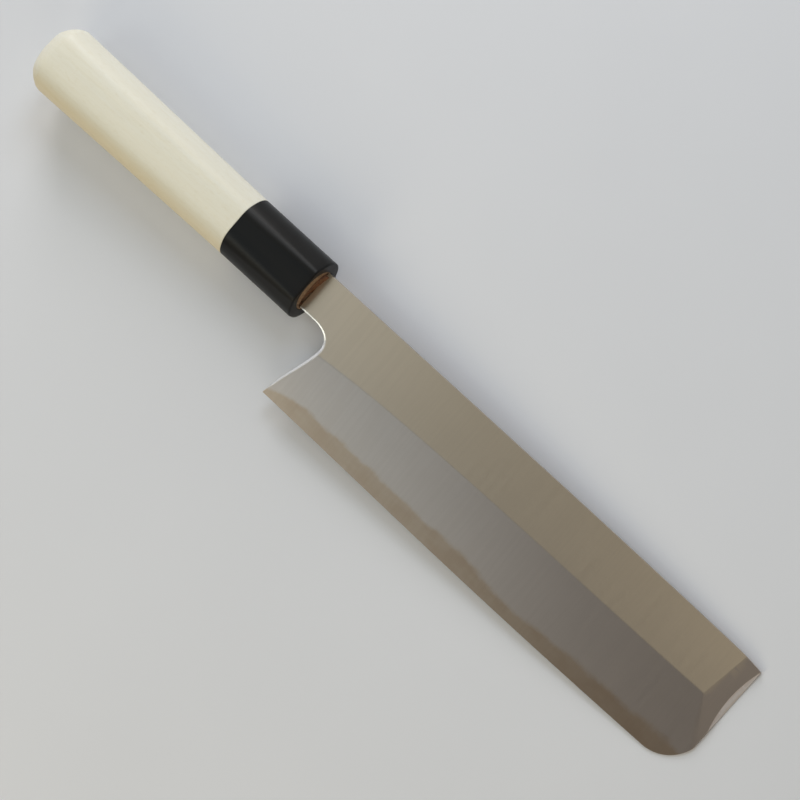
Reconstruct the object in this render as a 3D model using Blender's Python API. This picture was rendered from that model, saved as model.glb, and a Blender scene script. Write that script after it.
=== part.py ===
"""Usuba knife: a single-bevel vegetable knife with an octagonal wooden handle and a horn ferrule.

The knife is modelled along +X, with its edge towards -Y and its bevelled face up. X = 0 is the joint between
the handle wood and the ferrule, and the handle's axis is Y = Z = 0. It is then laid down as it rests on a
table: on the lower front rim of the ferrule and on the far end of the blade.
"""

import math

import bmesh
import bpy
from mathutils import Matrix, Vector

# Handle wood, from the butt to the joint with the ferrule
WOOD_LENGTH = 0.1045
BUTT_WIDTH = 0.0279
BUTT_THICKNESS = 0.0229
BUTT_FACET_INSET = 0.0066
BUTT_ROUNDING = 0.0068
BUTT_DRAW_IN = 0.0060
BUTT_FULLNESS = 1.4
BUTT_FACET_CROWN = 0.00045
BUTT_ARRIS = 0.0046
JOINT_WIDTH = 0.0255
JOINT_THICKNESS = 0.0210
JOINT_FACET_INSET = 0.0062
WOOD_ARRIS = 0.0026

# Horn ferrule, from the joint to its mouth
FERRULE_LENGTH = 0.036
FERRULE_NARROWING = 0.0002
FERRULE_WALL = 0.0017
MOUTH_ROUNDING = 0.0007
HORN_ARRIS = 0.0006

# Dowel that joins the wood to the ferrule and holds the tang
DOWEL_DEPTH_IN_WOOD = 0.034
DOWEL_CHAMFER = 0.0008
DOWEL_RIM = 0.0008
FIT_CLEARANCE = 0.0003

# Resin that seals the mouth round the tang
SEAL_DEPTH = 0.0036
SEAL_HEIGHT = 0.0094
SEAL_WALL = 0.0016
SEAL_PROUD = 0.0002
SEAL_DOME = 0.0003
SEAL_SLANT = 0.0014

# Blade outline, seen on the bevelled face
SHOULDER_GAP = 0.0005
NECK_TOP = 0.0085
NECK_BOTTOM = -0.0076
HEEL_OFFSET = 0.0095
HEEL_DEPTH = 0.0397
CHOIL_LEAN = 0.0071
CHOIL_REACH = 0.0091
CHOIL_HEIGHT = 0.0064
CHOIL_FULLNESS = 0.62
CHOIL_EASE = 0.20
HEEL_EASE = 0.28
HEEL_LEAN = math.radians(4)
BLADE_LENGTH = 0.2008
EDGE_BELLY = 0.00095
EDGE_BELLY_SKEW = 1.25
EDGE_RISE = 0.0007
CORNER_LENGTH = 0.0145
CORNER_HEIGHT = 0.0110
CORNER_FULLNESS = 0.52
CORNER_LEAN = math.radians(16)
SPINE_DROP = 0.0008
SPINE_DROP_LENGTH = 0.100
SPINE_END_DROP = 0.0008
SPINE_END_DROP_LENGTH = 0.012

# Blade thickness, and the bevel that is ground down to the edge
NECK_THICKNESS = 0.0038
TIP_THICKNESS = 0.0027
SPINE_THINNING = 0.00025
EDGE_THICKNESS = 0.00012
RIDGE_DEPTH = 0.0118
RIDGE_DROP_AT_HEEL = 0.0052
RIDGE_DROP_LENGTH = 0.038
RIDGE_RISE_AT_END = 0.0009
RIDGE_RISE_LENGTH = 0.018

# Bevel across the end of the blade, and the small wheel-ground facet on its rim
END_BEVEL_AT_RIDGE = 0.0097
END_BEVEL_AT_SPINE = 0.0071
END_RIM_THICKNESS = 0.00125
END_FACET_SPAN = 0.029
END_FACET_DEPTH = 0.0019
END_FACET_DROP = 0.00085

# Polished corners along the neck, the choil and the spine
NECK_POLISH = 0.0005
CHOIL_POLISH = 0.0011
HEEL_POLISH = 0.00045
CORNER_EASE = 0.0003
EASE_SHARE_OF_THICKNESS = 0.35

# Hollow ground into the back, and the flat rim left round it
HOLLOW_DEPTH = 0.00045
HOLLOW_RIM = 0.0016
HOLLOW_RUN_OUT = 0.016

# Hard steel layer on the back, welded under the soft iron
STEEL_BAND = 0.0065
STEEL_BAND_AT_HEEL = 0.0023
STEEL_BAND_GROWTH = 0.0085
STEEL_WAVE = 0.0003
STEEL_WAVE_LENGTH = 0.037
STEEL_DIP = 0.0028
STEEL_DIP_PLACE = 0.124
STEEL_DIP_LENGTH = 0.013
STEEL_SCARF = 0.005
WELD_GAP = 0.00002

# Tang, hidden in the handle
TANG_LENGTH = 0.092
TANG_WIDTH_AT_END = 0.0060
TANG_THICKNESS_AT_END = 0.0022
TANG_STEP = 0.0003
TANG_ROOT = 0.004

# Fineness of the curved surfaces, and the reach of the cutters
FACET_STEPS = 3
ARRIS_STEPS = 3
ARRIS_SHARE_LIMIT = 0.42
ROUNDING_STEPS = 7
ROUND_SIDES = 48
WHEEL_SIDES = 360
CURVE_STEPS = 12
BLADE_STATIONS = 28
HOLLOW_STEPS = 12
CUTTER_MARGIN = 0.004
CUTTER_HEIGHT = 0.012
CUTTER_REACH = 0.0015
CUTTER_LIP = 0.00001
WELD_DISTANCE = 0.000001
BLOCK_SIZE = 0.6

# Sizes and places worked out from the ones above
BUTT_X = -WOOD_LENGTH
MOUTH_X = FERRULE_LENGTH
MOUTH_WIDTH = JOINT_WIDTH - FERRULE_NARROWING
MOUTH_THICKNESS = JOINT_THICKNESS - FERRULE_NARROWING
BORE_DIAMETER = MOUTH_THICKNESS - 2 * FERRULE_WALL
DOWEL_DIAMETER = BORE_DIAMETER - 2 * FIT_CLEARANCE
SEAL_WIDTH = DOWEL_DIAMETER - 2 * DOWEL_RIM
SHOULDER_X = MOUTH_X + SHOULDER_GAP
HEEL_X = MOUTH_X + HEEL_OFFSET
END_X = HEEL_X + BLADE_LENGTH
CORNER_X = END_X - CORNER_LENGTH
BACK_Z = -NECK_THICKNESS / 2
NECK_MIDDLE = (NECK_TOP + NECK_BOTTOM) / 2
TANG_END_X = SHOULDER_X - TANG_LENGTH
TANG_WIDTH_AT_SHOULDER = SEAL_WIDTH - 2 * SEAL_WALL
TANG_THICKNESS_AT_SHOULDER = NECK_THICKNESS - 2 * TANG_STEP


# Meshes and modifiers


def clear_scene():
    """Start from an empty scene."""
    for thing in list(bpy.data.objects):
        bpy.data.objects.remove(thing, do_unlink=True)


def new_collection(name):
    """A collection linked to the scene."""
    collection = bpy.data.collections.new(name)
    bpy.context.scene.collection.children.link(collection)
    return collection


def new_material(name, colour, roughness, metallic=0.0):
    """A plain Principled material with the piece's colour."""
    material = bpy.data.materials.new(name)
    material.use_nodes = True
    shader = material.node_tree.nodes["Principled BSDF"]
    shader.inputs["Base Color"].default_value = (*colour, 1.0)
    shader.inputs["Roughness"].default_value = roughness
    shader.inputs["Metallic"].default_value = metallic
    return material


def new_object(name, bm, collection):
    """A mesh object made from a bmesh, with its faces pointing out."""
    bmesh.ops.triangulate(bm, faces=[face for face in bm.faces if len(face.verts) == 4])
    bmesh.ops.recalc_face_normals(bm, faces=bm.faces)
    mesh = bpy.data.meshes.new(name)
    bm.to_mesh(mesh)
    bm.free()
    piece = bpy.data.objects.new(name, mesh)
    collection.objects.link(piece)
    return piece


def copy_object(source, name, collection):
    """Another object with its own copy of the mesh."""
    piece = bpy.data.objects.new(name, source.data.copy())
    collection.objects.link(piece)
    return piece


def loft(name, rings, collection):
    """A closed body through rings that have the same number of points, capped at both ends."""
    bm = bmesh.new()
    rows = [[bm.verts.new(point) for point in ring] for ring in rings]
    count = len(rings[0])
    for near, far in zip(rows, rows[1:]):
        for i in range(count):
            j = (i + 1) % count
            bm.faces.new((near[i], near[j], far[j], far[i]))
    bm.faces.new(rows[0])
    bm.faces.new(rows[-1])
    return new_object(name, bm, collection)


def bar(name, near, far, collection):
    """A bar along X whose two ends are each (x, middle y, width, thickness)."""
    bm = bmesh.new()
    bmesh.ops.create_cube(bm, size=1.0)
    for vert in bm.verts:
        x, middle, width, thickness = near if vert.co.x < 0 else far
        vert.co = Vector((x, middle + vert.co.y * width, vert.co.z * thickness))
    return new_object(name, bm, collection)


def round_bar(name, x_from, x_to, diameter, collection, chamfer=0.0):
    """A cylinder on the handle's axis, with an optional chamfer at its rear end."""
    bm = bmesh.new()
    place = Matrix.Translation(((x_from + x_to) / 2, 0, 0)) @ Matrix.Rotation(math.pi / 2, 4, "Y")
    bmesh.ops.create_cone(
        bm,
        cap_ends=True,
        segments=ROUND_SIDES,
        radius1=diameter / 2,
        radius2=diameter / 2,
        depth=x_to - x_from,
        matrix=place,
    )
    if chamfer:
        middle = (x_from + x_to) / 2
        rim = [edge for edge in bm.edges if all(vert.co.x < middle for vert in edge.verts)]
        bmesh.ops.bevel(bm, geom=rim, offset=chamfer, segments=1, affect="EDGES")
    return new_object(name, bm, collection)


def block_above(name, corner, ahead, aside, cutters):
    """A large block that fills everything above the plane through three points."""
    forward = (ahead - corner).normalized()
    up = forward.cross(aside - corner).normalized()
    if up.z < 0:
        up.negate()
    place = Matrix((forward, up.cross(forward), up)).transposed().to_4x4()
    place.translation = corner + up * (BLOCK_SIZE / 2)
    bm = bmesh.new()
    bmesh.ops.create_cube(bm, size=BLOCK_SIZE, matrix=place)
    return new_object(name, bm, cutters)


def combine(piece, operation, other):
    """Cut, join or intersect a piece with another object, through an exact Boolean modifier."""
    modifier = piece.modifiers.new(other.name, "BOOLEAN")
    modifier.operation = operation
    modifier.solver = "EXACT"
    modifier.object = other


def apply_modifiers(piece):
    """Replace a piece's mesh with what its modifiers make of it, less the points that fall together."""
    bpy.context.view_layer.update()
    graph = bpy.context.evaluated_depsgraph_get()
    mesh = bpy.data.meshes.new_from_object(piece.evaluated_get(graph))
    piece.modifiers.clear()
    bm = bmesh.new()
    bm.from_mesh(mesh)
    bmesh.ops.remove_doubles(bm, verts=bm.verts, dist=WELD_DISTANCE)
    bm.to_mesh(mesh)
    bm.free()
    piece.data = mesh


def finish_piece(piece, material, sharp_degrees):
    """Apply a piece's modifiers and give it its material, shaded smooth up to a clear angle."""
    apply_modifiers(piece)
    piece.data.name = piece.name
    piece.data.materials.clear()
    piece.data.materials.append(material)
    piece.data.shade_smooth()
    piece.data.set_sharp_from_angle(angle=math.radians(sharp_degrees))


def spaced(start, end, count):
    """Evenly spaced values, both ends included."""
    return [start + (end - start) * step / count for step in range(count + 1)]


# Handle


def octagon_ring(x, width, thickness, inset, arris, crown=0.0):
    """One cross-section of the handle: an octagon with rounded arrises and, if asked, crowned facets."""
    half_y = width / 2
    half_z = thickness / 2
    corners = []
    for sign_y, sign_z in ((1, 1), (-1, 1), (-1, -1), (1, -1)):
        side = Vector((sign_y * half_y, sign_z * (half_z - inset)))
        top = Vector((sign_y * (half_y - inset), sign_z * half_z))
        corners.extend([side, top] if sign_y == sign_z else [top, side])
    ring = []
    for k, corner in enumerate(corners):
        following = corners[(k + 1) % 8]
        beyond = corners[(k + 2) % 8] - following
        along = following - corner
        outward = Vector((along.y, -along.x)).normalized()
        bulge = crown * along.length / (width - 2 * inset)
        margin = min(arris / along.length, ARRIS_SHARE_LIMIT)
        for share in spaced(margin, 1 - margin, FACET_STEPS):
            ring.append(corner + along * share + outward * bulge * 4 * share * (1 - share))
        leaving = ring[-1]
        entering = following + beyond * min(arris / beyond.length, ARRIS_SHARE_LIMIT)
        for share in spaced(0, 1, ARRIS_STEPS)[1:-1]:
            near = leaving.lerp(following, share)
            far = following.lerp(entering, share)
            ring.append(near.lerp(far, share))
    return [Vector((x, point.x, point.y)) for point in ring]


def drawn_in(width, thickness, inset, amount):
    """Width, thickness and inset of an octagon whose eight sides all move inwards."""
    return width - 2 * amount, thickness - 2 * amount, inset - amount * (2 - math.sqrt(2))


def rounded_butt():
    """Rings that round over the butt, whose arrises soften as it closes. The first is the end face."""
    rings = []
    for angle in spaced(0, math.pi / 2, ROUNDING_STEPS):
        share = 1 - math.sin(angle) ** BUTT_FULLNESS
        x = BUTT_X + BUTT_ROUNDING * (1 - math.cos(angle) ** BUTT_FULLNESS)
        section = drawn_in(BUTT_WIDTH, BUTT_THICKNESS, BUTT_FACET_INSET, BUTT_DRAW_IN * share)
        arris = WOOD_ARRIS + (BUTT_ARRIS - WOOD_ARRIS) * share
        rings.append(octagon_ring(x, *section, arris, BUTT_FACET_CROWN))
    return rings


def rounded_mouth():
    """Rings that round over the ferrule's front rim. The last is the mouth."""
    rings = []
    for angle in spaced(math.pi / 2, 0, ROUNDING_STEPS):
        x = MOUTH_X - MOUTH_ROUNDING * (1 - math.cos(angle))
        amount = MOUTH_ROUNDING * (1 - math.sin(angle))
        section = drawn_in(MOUTH_WIDTH, MOUTH_THICKNESS, JOINT_FACET_INSET, amount)
        rings.append(octagon_ring(x, *section, HORN_ARRIS))
    return rings


def tang_section(x, clearance=0.0):
    """The tang at x: (x, middle y, width, thickness), with a clearance all round if asked."""
    share = (x - TANG_END_X) / TANG_LENGTH
    width = TANG_WIDTH_AT_END + (TANG_WIDTH_AT_SHOULDER - TANG_WIDTH_AT_END) * share
    thickness = TANG_THICKNESS_AT_END + (TANG_THICKNESS_AT_SHOULDER - TANG_THICKNESS_AT_END) * share
    return x, NECK_MIDDLE, width + 2 * clearance, thickness + 2 * clearance


def mortise(name, cutters):
    """The tapered slot that the tang is burned into."""
    near = tang_section(TANG_END_X - FIT_CLEARANCE, FIT_CLEARANCE)
    far = tang_section(MOUTH_X + CUTTER_MARGIN, FIT_CLEARANCE)
    return bar(name, near, far, cutters)


def make_handle_wood(collection, cutters):
    """Octagonal wood that swells towards the butt, bored for the dowel and slotted for the tang's end."""
    joint = octagon_ring(0, JOINT_WIDTH, JOINT_THICKNESS, JOINT_FACET_INSET, HORN_ARRIS)
    wood = loft("handle_wood", [*rounded_butt(), joint], collection)
    bore_end = -DOWEL_DEPTH_IN_WOOD - FIT_CLEARANCE
    bore = round_bar("cut_wood_bore", bore_end, CUTTER_MARGIN, BORE_DIAMETER, cutters)
    combine(wood, "DIFFERENCE", bore)
    combine(wood, "DIFFERENCE", mortise("cut_wood_mortise", cutters))
    return wood


def make_ferrule(collection, cutters):
    """Octagonal horn tube with a softened front rim."""
    rear = octagon_ring(FIT_CLEARANCE, JOINT_WIDTH, JOINT_THICKNESS, JOINT_FACET_INSET, HORN_ARRIS)
    ferrule = loft("horn_ferrule", [rear, *rounded_mouth()], collection)
    bore_from = -CUTTER_MARGIN
    bore = round_bar("cut_ferrule_bore", bore_from, MOUTH_X + CUTTER_MARGIN, BORE_DIAMETER, cutters)
    combine(ferrule, "DIFFERENCE", bore)
    return ferrule


def oval_ring(x, width, height, slant=0.0):
    """An oval cross-section at x, which may lean forward by a slant from its middle to its +Y side."""
    ring = []
    for angle in spaced(0, 2 * math.pi, ROUND_SIDES)[:-1]:
        y = width / 2 * math.cos(angle)
        ring.append(Vector((x + slant * y / (SEAL_WIDTH / 2), y, height / 2 * math.sin(angle))))
    return ring


def make_dowel(collection, cutters):
    """Round dowel through ferrule and wood, with an oval pocket for the resin and a slot for the tang."""
    dowel = round_bar(
        "core_dowel", -DOWEL_DEPTH_IN_WOOD, MOUTH_X, DOWEL_DIAMETER, collection, DOWEL_CHAMFER
    )
    pocket_from = MOUTH_X - SEAL_DEPTH - FIT_CLEARANCE
    width = SEAL_WIDTH + 2 * FIT_CLEARANCE
    height = SEAL_HEIGHT + 2 * FIT_CLEARANCE
    rings = [oval_ring(x, width, height) for x in (pocket_from, MOUTH_X + CUTTER_MARGIN)]
    combine(dowel, "DIFFERENCE", loft("cut_seal_pocket", rings, cutters))
    combine(dowel, "DIFFERENCE", mortise("cut_dowel_mortise", cutters))
    return dowel


def make_seal(collection, cutters):
    """Oval resin plug, slanted and slightly domed in front, that laps on to the root of the neck."""
    front = MOUTH_X + SEAL_PROUD
    rings = [
        oval_ring(MOUTH_X - SEAL_DEPTH, SEAL_WIDTH, SEAL_HEIGHT),
        oval_ring(front, SEAL_WIDTH, SEAL_HEIGHT, SEAL_SLANT),
    ]
    for rise, share in ((0.6, 0.9), (1.0, 0.7)):
        x = front + rise * SEAL_DOME
        rings.append(oval_ring(x, share * SEAL_WIDTH, share * SEAL_HEIGHT, SEAL_SLANT))
    seal = loft("tang_seal", rings, collection)
    combine(seal, "DIFFERENCE", mortise("cut_seal_mortise", cutters))
    near = (
        SHOULDER_X - FIT_CLEARANCE,
        NECK_MIDDLE,
        2 * DOWEL_DIAMETER,
        NECK_THICKNESS + 2 * FIT_CLEARANCE,
    )
    combine(seal, "DIFFERENCE", bar("cut_seal_neck", near, (HEEL_X, *near[1:]), cutters))
    return seal


# Blade outline


def spine_y(x):
    """Height of the spine: level from the neck, and falling a little towards the end."""
    gentle = max(0.0, 1 - (END_X - x) / SPINE_DROP_LENGTH)
    quick = max(0.0, 1 - (END_X - x) / SPINE_END_DROP_LENGTH)
    return NECK_TOP - SPINE_DROP * gentle**2 - SPINE_END_DROP * quick**2


def edge_y(x):
    """Height of the cutting edge, with its slight belly."""
    share = (x - HEEL_X) / (CORNER_X - HEEL_X)
    belly = math.sin(math.pi * min(max(share, 0.0), 1.0) ** EDGE_BELLY_SKEW)
    return -HEEL_DEPTH + EDGE_RISE * share - EDGE_BELLY * belly


def bezier(points):
    """Points along a cubic curve between its first and last control points, both included."""
    a, b, c, d = (Vector(point) for point in points)
    curve = []
    for t in spaced(0, 1, CURVE_STEPS):
        s = 1 - t
        curve.append(a * s**3 + b * (3 * s * s * t) + c * (3 * s * t * t) + d * t**3)
    return curve


def choil_path():
    """From the shoulder along the underside of the neck, round the choil and down to the heel."""
    turn_x = HEEL_X + CHOIL_LEAN
    turn_y = NECK_BOTTOM - CHOIL_HEIGHT
    around = [
        (turn_x - CHOIL_REACH, NECK_BOTTOM),
        (turn_x - CHOIL_REACH * (1 - CHOIL_FULLNESS), NECK_BOTTOM),
        (turn_x, turn_y + CHOIL_HEIGHT * CHOIL_FULLNESS),
        (turn_x, turn_y),
    ]
    drop = turn_y + HEEL_DEPTH
    last_rise = HEEL_EASE * drop
    down = [
        (turn_x, turn_y),
        (turn_x, turn_y - CHOIL_EASE * drop),
        (HEEL_X + last_rise * math.tan(HEEL_LEAN), -HEEL_DEPTH + last_rise),
        (HEEL_X, -HEEL_DEPTH),
    ]
    return [Vector((SHOULDER_X, NECK_BOTTOM)), *bezier(around), *bezier(down)[1:]]


def corner_path():
    """The rounded corner between the edge and the end, from the edge up."""
    start = Vector((CORNER_X, edge_y(CORNER_X)))
    finish = start + Vector((CORNER_LENGTH, CORNER_HEIGHT))
    reach = CORNER_LENGTH * CORNER_FULLNESS
    rise = edge_y(CORNER_X + reach) - edge_y(CORNER_X)
    lean = Vector((math.sin(CORNER_LEAN), math.cos(CORNER_LEAN)))
    return bezier(
        [
            start,
            start + Vector((reach, rise)),
            finish - lean * (CORNER_HEIGHT * CORNER_FULLNESS),
            finish,
        ]
    )


def edge_path():
    """The cutting edge, between the heel and the rounded corner."""
    xs = spaced(HEEL_X, CORNER_X, BLADE_STATIONS)[1:-1]
    return [Vector((x, edge_y(x))) for x in xs]


def spine_path():
    """The spine, from the end of the blade back to the shoulder."""
    steps_near_end = spaced(END_X, END_X - SPINE_END_DROP_LENGTH, CURVE_STEPS // 2)
    steps_behind = spaced(END_X - SPINE_END_DROP_LENGTH, SHOULDER_X, BLADE_STATIONS)[1:]
    return [Vector((x, spine_y(x))) for x in steps_near_end + steps_behind]


def low_outline_y(x):
    """Lowest point of the outline at x, on the edge or on the rounded corner."""
    if x <= CORNER_X:
        return edge_y(x)
    path = corner_path()
    for near, far in zip(path, path[1:]):
        if x <= far.x:
            return near.y + (far.y - near.y) * (x - near.x) / (far.x - near.x)
    return path[-1].y


# Blade surfaces


def face_z(x, y):
    """Height of the flat upper face: it thins towards the end, and a little towards the spine."""
    along = (x - SHOULDER_X) / (END_X - SHOULDER_X)
    across = (y + RIDGE_DEPTH) / (NECK_TOP + RIDGE_DEPTH)
    thinning = (NECK_THICKNESS - TIP_THICKNESS) * along + SPINE_THINNING * across
    return BACK_Z + NECK_THICKNESS - thinning


def ridge_y(x):
    """Place of the ridge where the flat face turns down into the bevel."""
    drop = RIDGE_DROP_AT_HEEL * math.exp((HEEL_X - x) / RIDGE_DROP_LENGTH)
    rise = RIDGE_RISE_AT_END * math.exp((x - END_X) / RIDGE_RISE_LENGTH)
    return -RIDGE_DEPTH - drop + rise


def bevel_slope(x):
    """Rise of the bevel for each unit from the edge towards the ridge."""
    rise = face_z(x, ridge_y(x)) - BACK_Z - EDGE_THICKNESS
    return rise / (ridge_y(x) - edge_y(x))


def bevel_z(x, y):
    """Height of the ground bevel."""
    return BACK_Z + EDGE_THICKNESS + bevel_slope(x) * (y - edge_y(x))


def end_bevel_points():
    """Three points of the end bevel's plane: on the ridge, on the end rim and on the spine."""
    x_ridge = END_X - END_BEVEL_AT_RIDGE
    x_spine = END_X - END_BEVEL_AT_SPINE
    ridge = Vector((x_ridge, ridge_y(x_ridge), face_z(x_ridge, ridge_y(x_ridge))))
    rim = Vector((END_X, ridge.y, BACK_Z + END_RIM_THICKNESS))
    spine = Vector((x_spine, spine_y(x_spine), face_z(x_spine, spine_y(x_spine))))
    return ridge, rim, spine


def end_bevel_z(x, y):
    """Height of the end bevel's plane."""
    ridge, rim, spine = end_bevel_points()
    normal = (rim - ridge).cross(spine - ridge)
    return ridge.z - (normal.x * (x - ridge.x) + normal.y * (y - ridge.y)) / normal.z


def upper_z(x, y):
    """Height of the upper surface, whichever of its ground faces is lowest there."""
    return min(face_z(x, y), bevel_z(x, y), end_bevel_z(x, y))


def steel_band(x):
    """Width of the steel that the bevel lays bare along the edge."""
    along = x - HEEL_X
    growth = math.exp(-((along / STEEL_BAND_GROWTH) ** 2))
    dip = math.exp(-(((along - STEEL_DIP_PLACE) / STEEL_DIP_LENGTH) ** 2))
    turns = 2 * math.pi * along / STEEL_WAVE_LENGTH
    wave = math.sin(turns) + 0.5 * math.sin(2.3 * turns)
    narrowing = (STEEL_BAND - STEEL_BAND_AT_HEEL) * growth + STEEL_DIP * dip
    return STEEL_BAND - narrowing + STEEL_WAVE * wave * (1 - growth)


def steel_thickness(x):
    """Height of the weld above the back. It runs out in a scarf under the neck."""
    if x < HEEL_X:
        return steel_thickness(HEEL_X) * (1 - (HEEL_X - x) / STEEL_SCARF)
    return EDGE_THICKNESS + bevel_slope(x) * steel_band(x)


# Blade cutters


def bevel_cutter(cutters):
    """Everything above the ground bevel."""
    rings = []
    for x in spaced(HEEL_X - CUTTER_MARGIN, END_X + CUTTER_MARGIN, BLADE_STATIONS):
        low = edge_y(x) - CUTTER_REACH
        high = ridge_y(x) + CUTTER_REACH
        rings.append(
            [
                Vector((x, low, bevel_z(x, low))),
                Vector((x, high, bevel_z(x, high))),
                Vector((x, high, CUTTER_HEIGHT)),
                Vector((x, low, CUTTER_HEIGHT)),
            ]
        )
    return loft("cut_bevel", rings, cutters)


def face_cutter(cutters):
    """Everything above the flat face."""
    corner = Vector((SHOULDER_X, 0, face_z(SHOULDER_X, 0)))
    ahead = Vector((END_X, 0, face_z(END_X, 0)))
    aside = Vector((SHOULDER_X, NECK_TOP, face_z(SHOULDER_X, NECK_TOP)))
    return block_above("cut_face", corner, ahead, aside, cutters)


def end_facet_cutter(cutters):
    """The grinding wheel that leaves the crescent facet on the rim of the end."""
    radius = END_FACET_SPAN**2 / (8 * END_FACET_DROP)
    bevel_rise = (face_z(END_X, -RIDGE_DEPTH) - BACK_Z - END_RIM_THICKNESS) / END_BEVEL_AT_RIDGE
    slope = math.atan(bevel_rise + END_FACET_DROP / END_FACET_DEPTH)
    low_z = BACK_Z + END_RIM_THICKNESS - END_FACET_DROP
    middle_y = spine_y(END_X) - END_FACET_SPAN / 2
    place = Matrix.Translation((END_X, middle_y, low_z)) @ Matrix.Rotation(slope, 4, "Y")
    place = place @ Matrix.Translation((0, 0, radius)) @ Matrix.Rotation(math.pi / 2, 4, "Y")
    bm = bmesh.new()
    bmesh.ops.create_cone(
        bm,
        cap_ends=True,
        segments=WHEEL_SIDES,
        radius1=radius,
        radius2=radius,
        depth=2 * END_FACET_SPAN,
        matrix=place,
    )
    return new_object("cut_end_facet", bm, cutters)


def hollow_cutter(cutters):
    """Shallow hollow in the back, deepest along its middle and running out towards both ends."""
    x_from = HEEL_X + CHOIL_LEAN + HOLLOW_RIM
    x_to = END_X - HOLLOW_RIM
    rings = []
    for x in spaced(x_from, x_to, BLADE_STATIONS):
        run_out = min(1.0, min(x - x_from, x_to - x) / HOLLOW_RUN_OUT)
        depth = (HOLLOW_DEPTH + CUTTER_LIP) * math.sin(math.pi / 2 * run_out)
        low = low_outline_y(x) + HOLLOW_RIM
        high = spine_y(x) - HOLLOW_RIM
        ring = []
        for share in spaced(-1, 1, HOLLOW_STEPS):
            y = (low + high) / 2 + share * (high - low) / 2
            ring.append(Vector((x, y, BACK_Z - CUTTER_LIP + depth * (1 - share**2))))
        ring.append(Vector((x, high, -CUTTER_HEIGHT)))
        ring.append(Vector((x, low, -CUTTER_HEIGHT)))
        rings.append(ring)
    return loft("cut_hollow", rings, cutters)


def steel_zone(name, clearance, cutters):
    """Everything below the weld, which is raised by a clearance where the iron is cut."""
    x_from = HEEL_X - STEEL_SCARF - CUTTER_MARGIN
    stations = spaced(x_from, HEEL_X, CURVE_STEPS // 2)
    stations += spaced(HEEL_X, END_X + CUTTER_MARGIN, 3 * BLADE_STATIONS)[1:]
    rings = []
    for x in stations:
        z = BACK_Z + steel_thickness(x) + clearance
        low = -HEEL_DEPTH - CUTTER_HEIGHT
        high = NECK_TOP + CUTTER_MARGIN
        rings.append(
            [
                Vector((x, low, z)),
                Vector((x, high, z)),
                Vector((x, high, -CUTTER_HEIGHT)),
                Vector((x, low, -CUTTER_HEIGHT)),
            ]
        )
    return loft(name, rings, cutters)


def easing_cutter(name, path, width_at, cutters):
    """Channel along a path that eases both rims at 45 degrees, the upper one by its own width."""
    first = path[0] - (path[1] - path[0]).normalized() * CUTTER_REACH
    last = path[-1] + (path[-1] - path[-2]).normalized() * CUTTER_REACH
    points = [first, *path, last]
    rings = []
    for k, point in enumerate(points):
        before = points[max(k - 1, 0)]
        after = points[min(k + 1, len(points) - 1)]
        along = (after - before).normalized()
        outward = Vector((along.y, -along.x))
        rim_z = upper_z(point.x, point.y)
        limit = EASE_SHARE_OF_THICKNESS * max(rim_z - BACK_Z, EDGE_THICKNESS)
        above = min(width_at(point), limit)
        below = min(CORNER_EASE, limit)
        top = rim_z + CUTTER_REACH
        bottom = BACK_Z - CUTTER_REACH
        section = (
            (-above - CUTTER_REACH, top),
            (CUTTER_REACH, top),
            (CUTTER_REACH, bottom),
            (-below - CUTTER_REACH, bottom),
            (CUTTER_LIP, BACK_Z + below + CUTTER_LIP),
            (CUTTER_LIP, rim_z - above - CUTTER_LIP),
        )
        rings.append([Vector((*(point + outward * reach), z)) for reach, z in section])
    return loft(name, rings, cutters)


def choil_polish(point):
    """Width of the polished corner: from the neck it grows round the choil and fades to the heel."""
    down = (NECK_BOTTOM - point.y) / (NECK_BOTTOM + HEEL_DEPTH)
    full = CHOIL_HEIGHT / (NECK_BOTTOM + HEEL_DEPTH)
    if down < full:
        return NECK_POLISH + (CHOIL_POLISH - NECK_POLISH) * down / full
    return CHOIL_POLISH + (HEEL_POLISH - CHOIL_POLISH) * (down - full) / (1 - full)


def even_ease(_point):
    """Width of the plain easing along the spine."""
    return CORNER_EASE


# Blade


def blade_blank(cutters):
    """The blade and its neck as a flat blank, cut to the outline."""
    outline = choil_path() + edge_path() + corner_path() + spine_path()
    curve = bpy.data.curves.new("blade_outline", "CURVE")
    curve.dimensions = "2D"
    curve.fill_mode = "BOTH"
    curve.extrude = NECK_THICKNESS / 2
    spline = curve.splines.new("POLY")
    spline.points.add(len(outline) - 1)
    for spline_point, point in zip(spline.points, outline):
        spline_point.co = (point.x, point.y, 0, 1)
    spline.use_cyclic_u = True
    drawn = bpy.data.objects.new("blade_outline", curve)
    cutters.objects.link(drawn)
    bpy.context.view_layer.update()
    graph = bpy.context.evaluated_depsgraph_get()
    mesh = bpy.data.meshes.new_from_object(drawn.evaluated_get(graph))
    bpy.data.objects.remove(drawn, do_unlink=True)
    bm = bmesh.new()
    bm.from_mesh(mesh)
    bmesh.ops.remove_doubles(bm, verts=bm.verts, dist=WELD_DISTANCE)
    return new_object("blade_body", bm, cutters)


def ground_blade(cutters):
    """The blank with its faces ground: flat, bevel, end bevel, rim facet, hollow and eased corners."""
    body = blade_blank(cutters)
    for cutter in (
        face_cutter(cutters),
        bevel_cutter(cutters),
        block_above("cut_end_bevel", *end_bevel_points(), cutters),
        end_facet_cutter(cutters),
        hollow_cutter(cutters),
        easing_cutter("ease_choil", choil_path(), choil_polish, cutters),
        easing_cutter("ease_spine", spine_path(), even_ease, cutters),
    ):
        combine(body, "DIFFERENCE", cutter)
        apply_modifiers(body)
    return body


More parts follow.
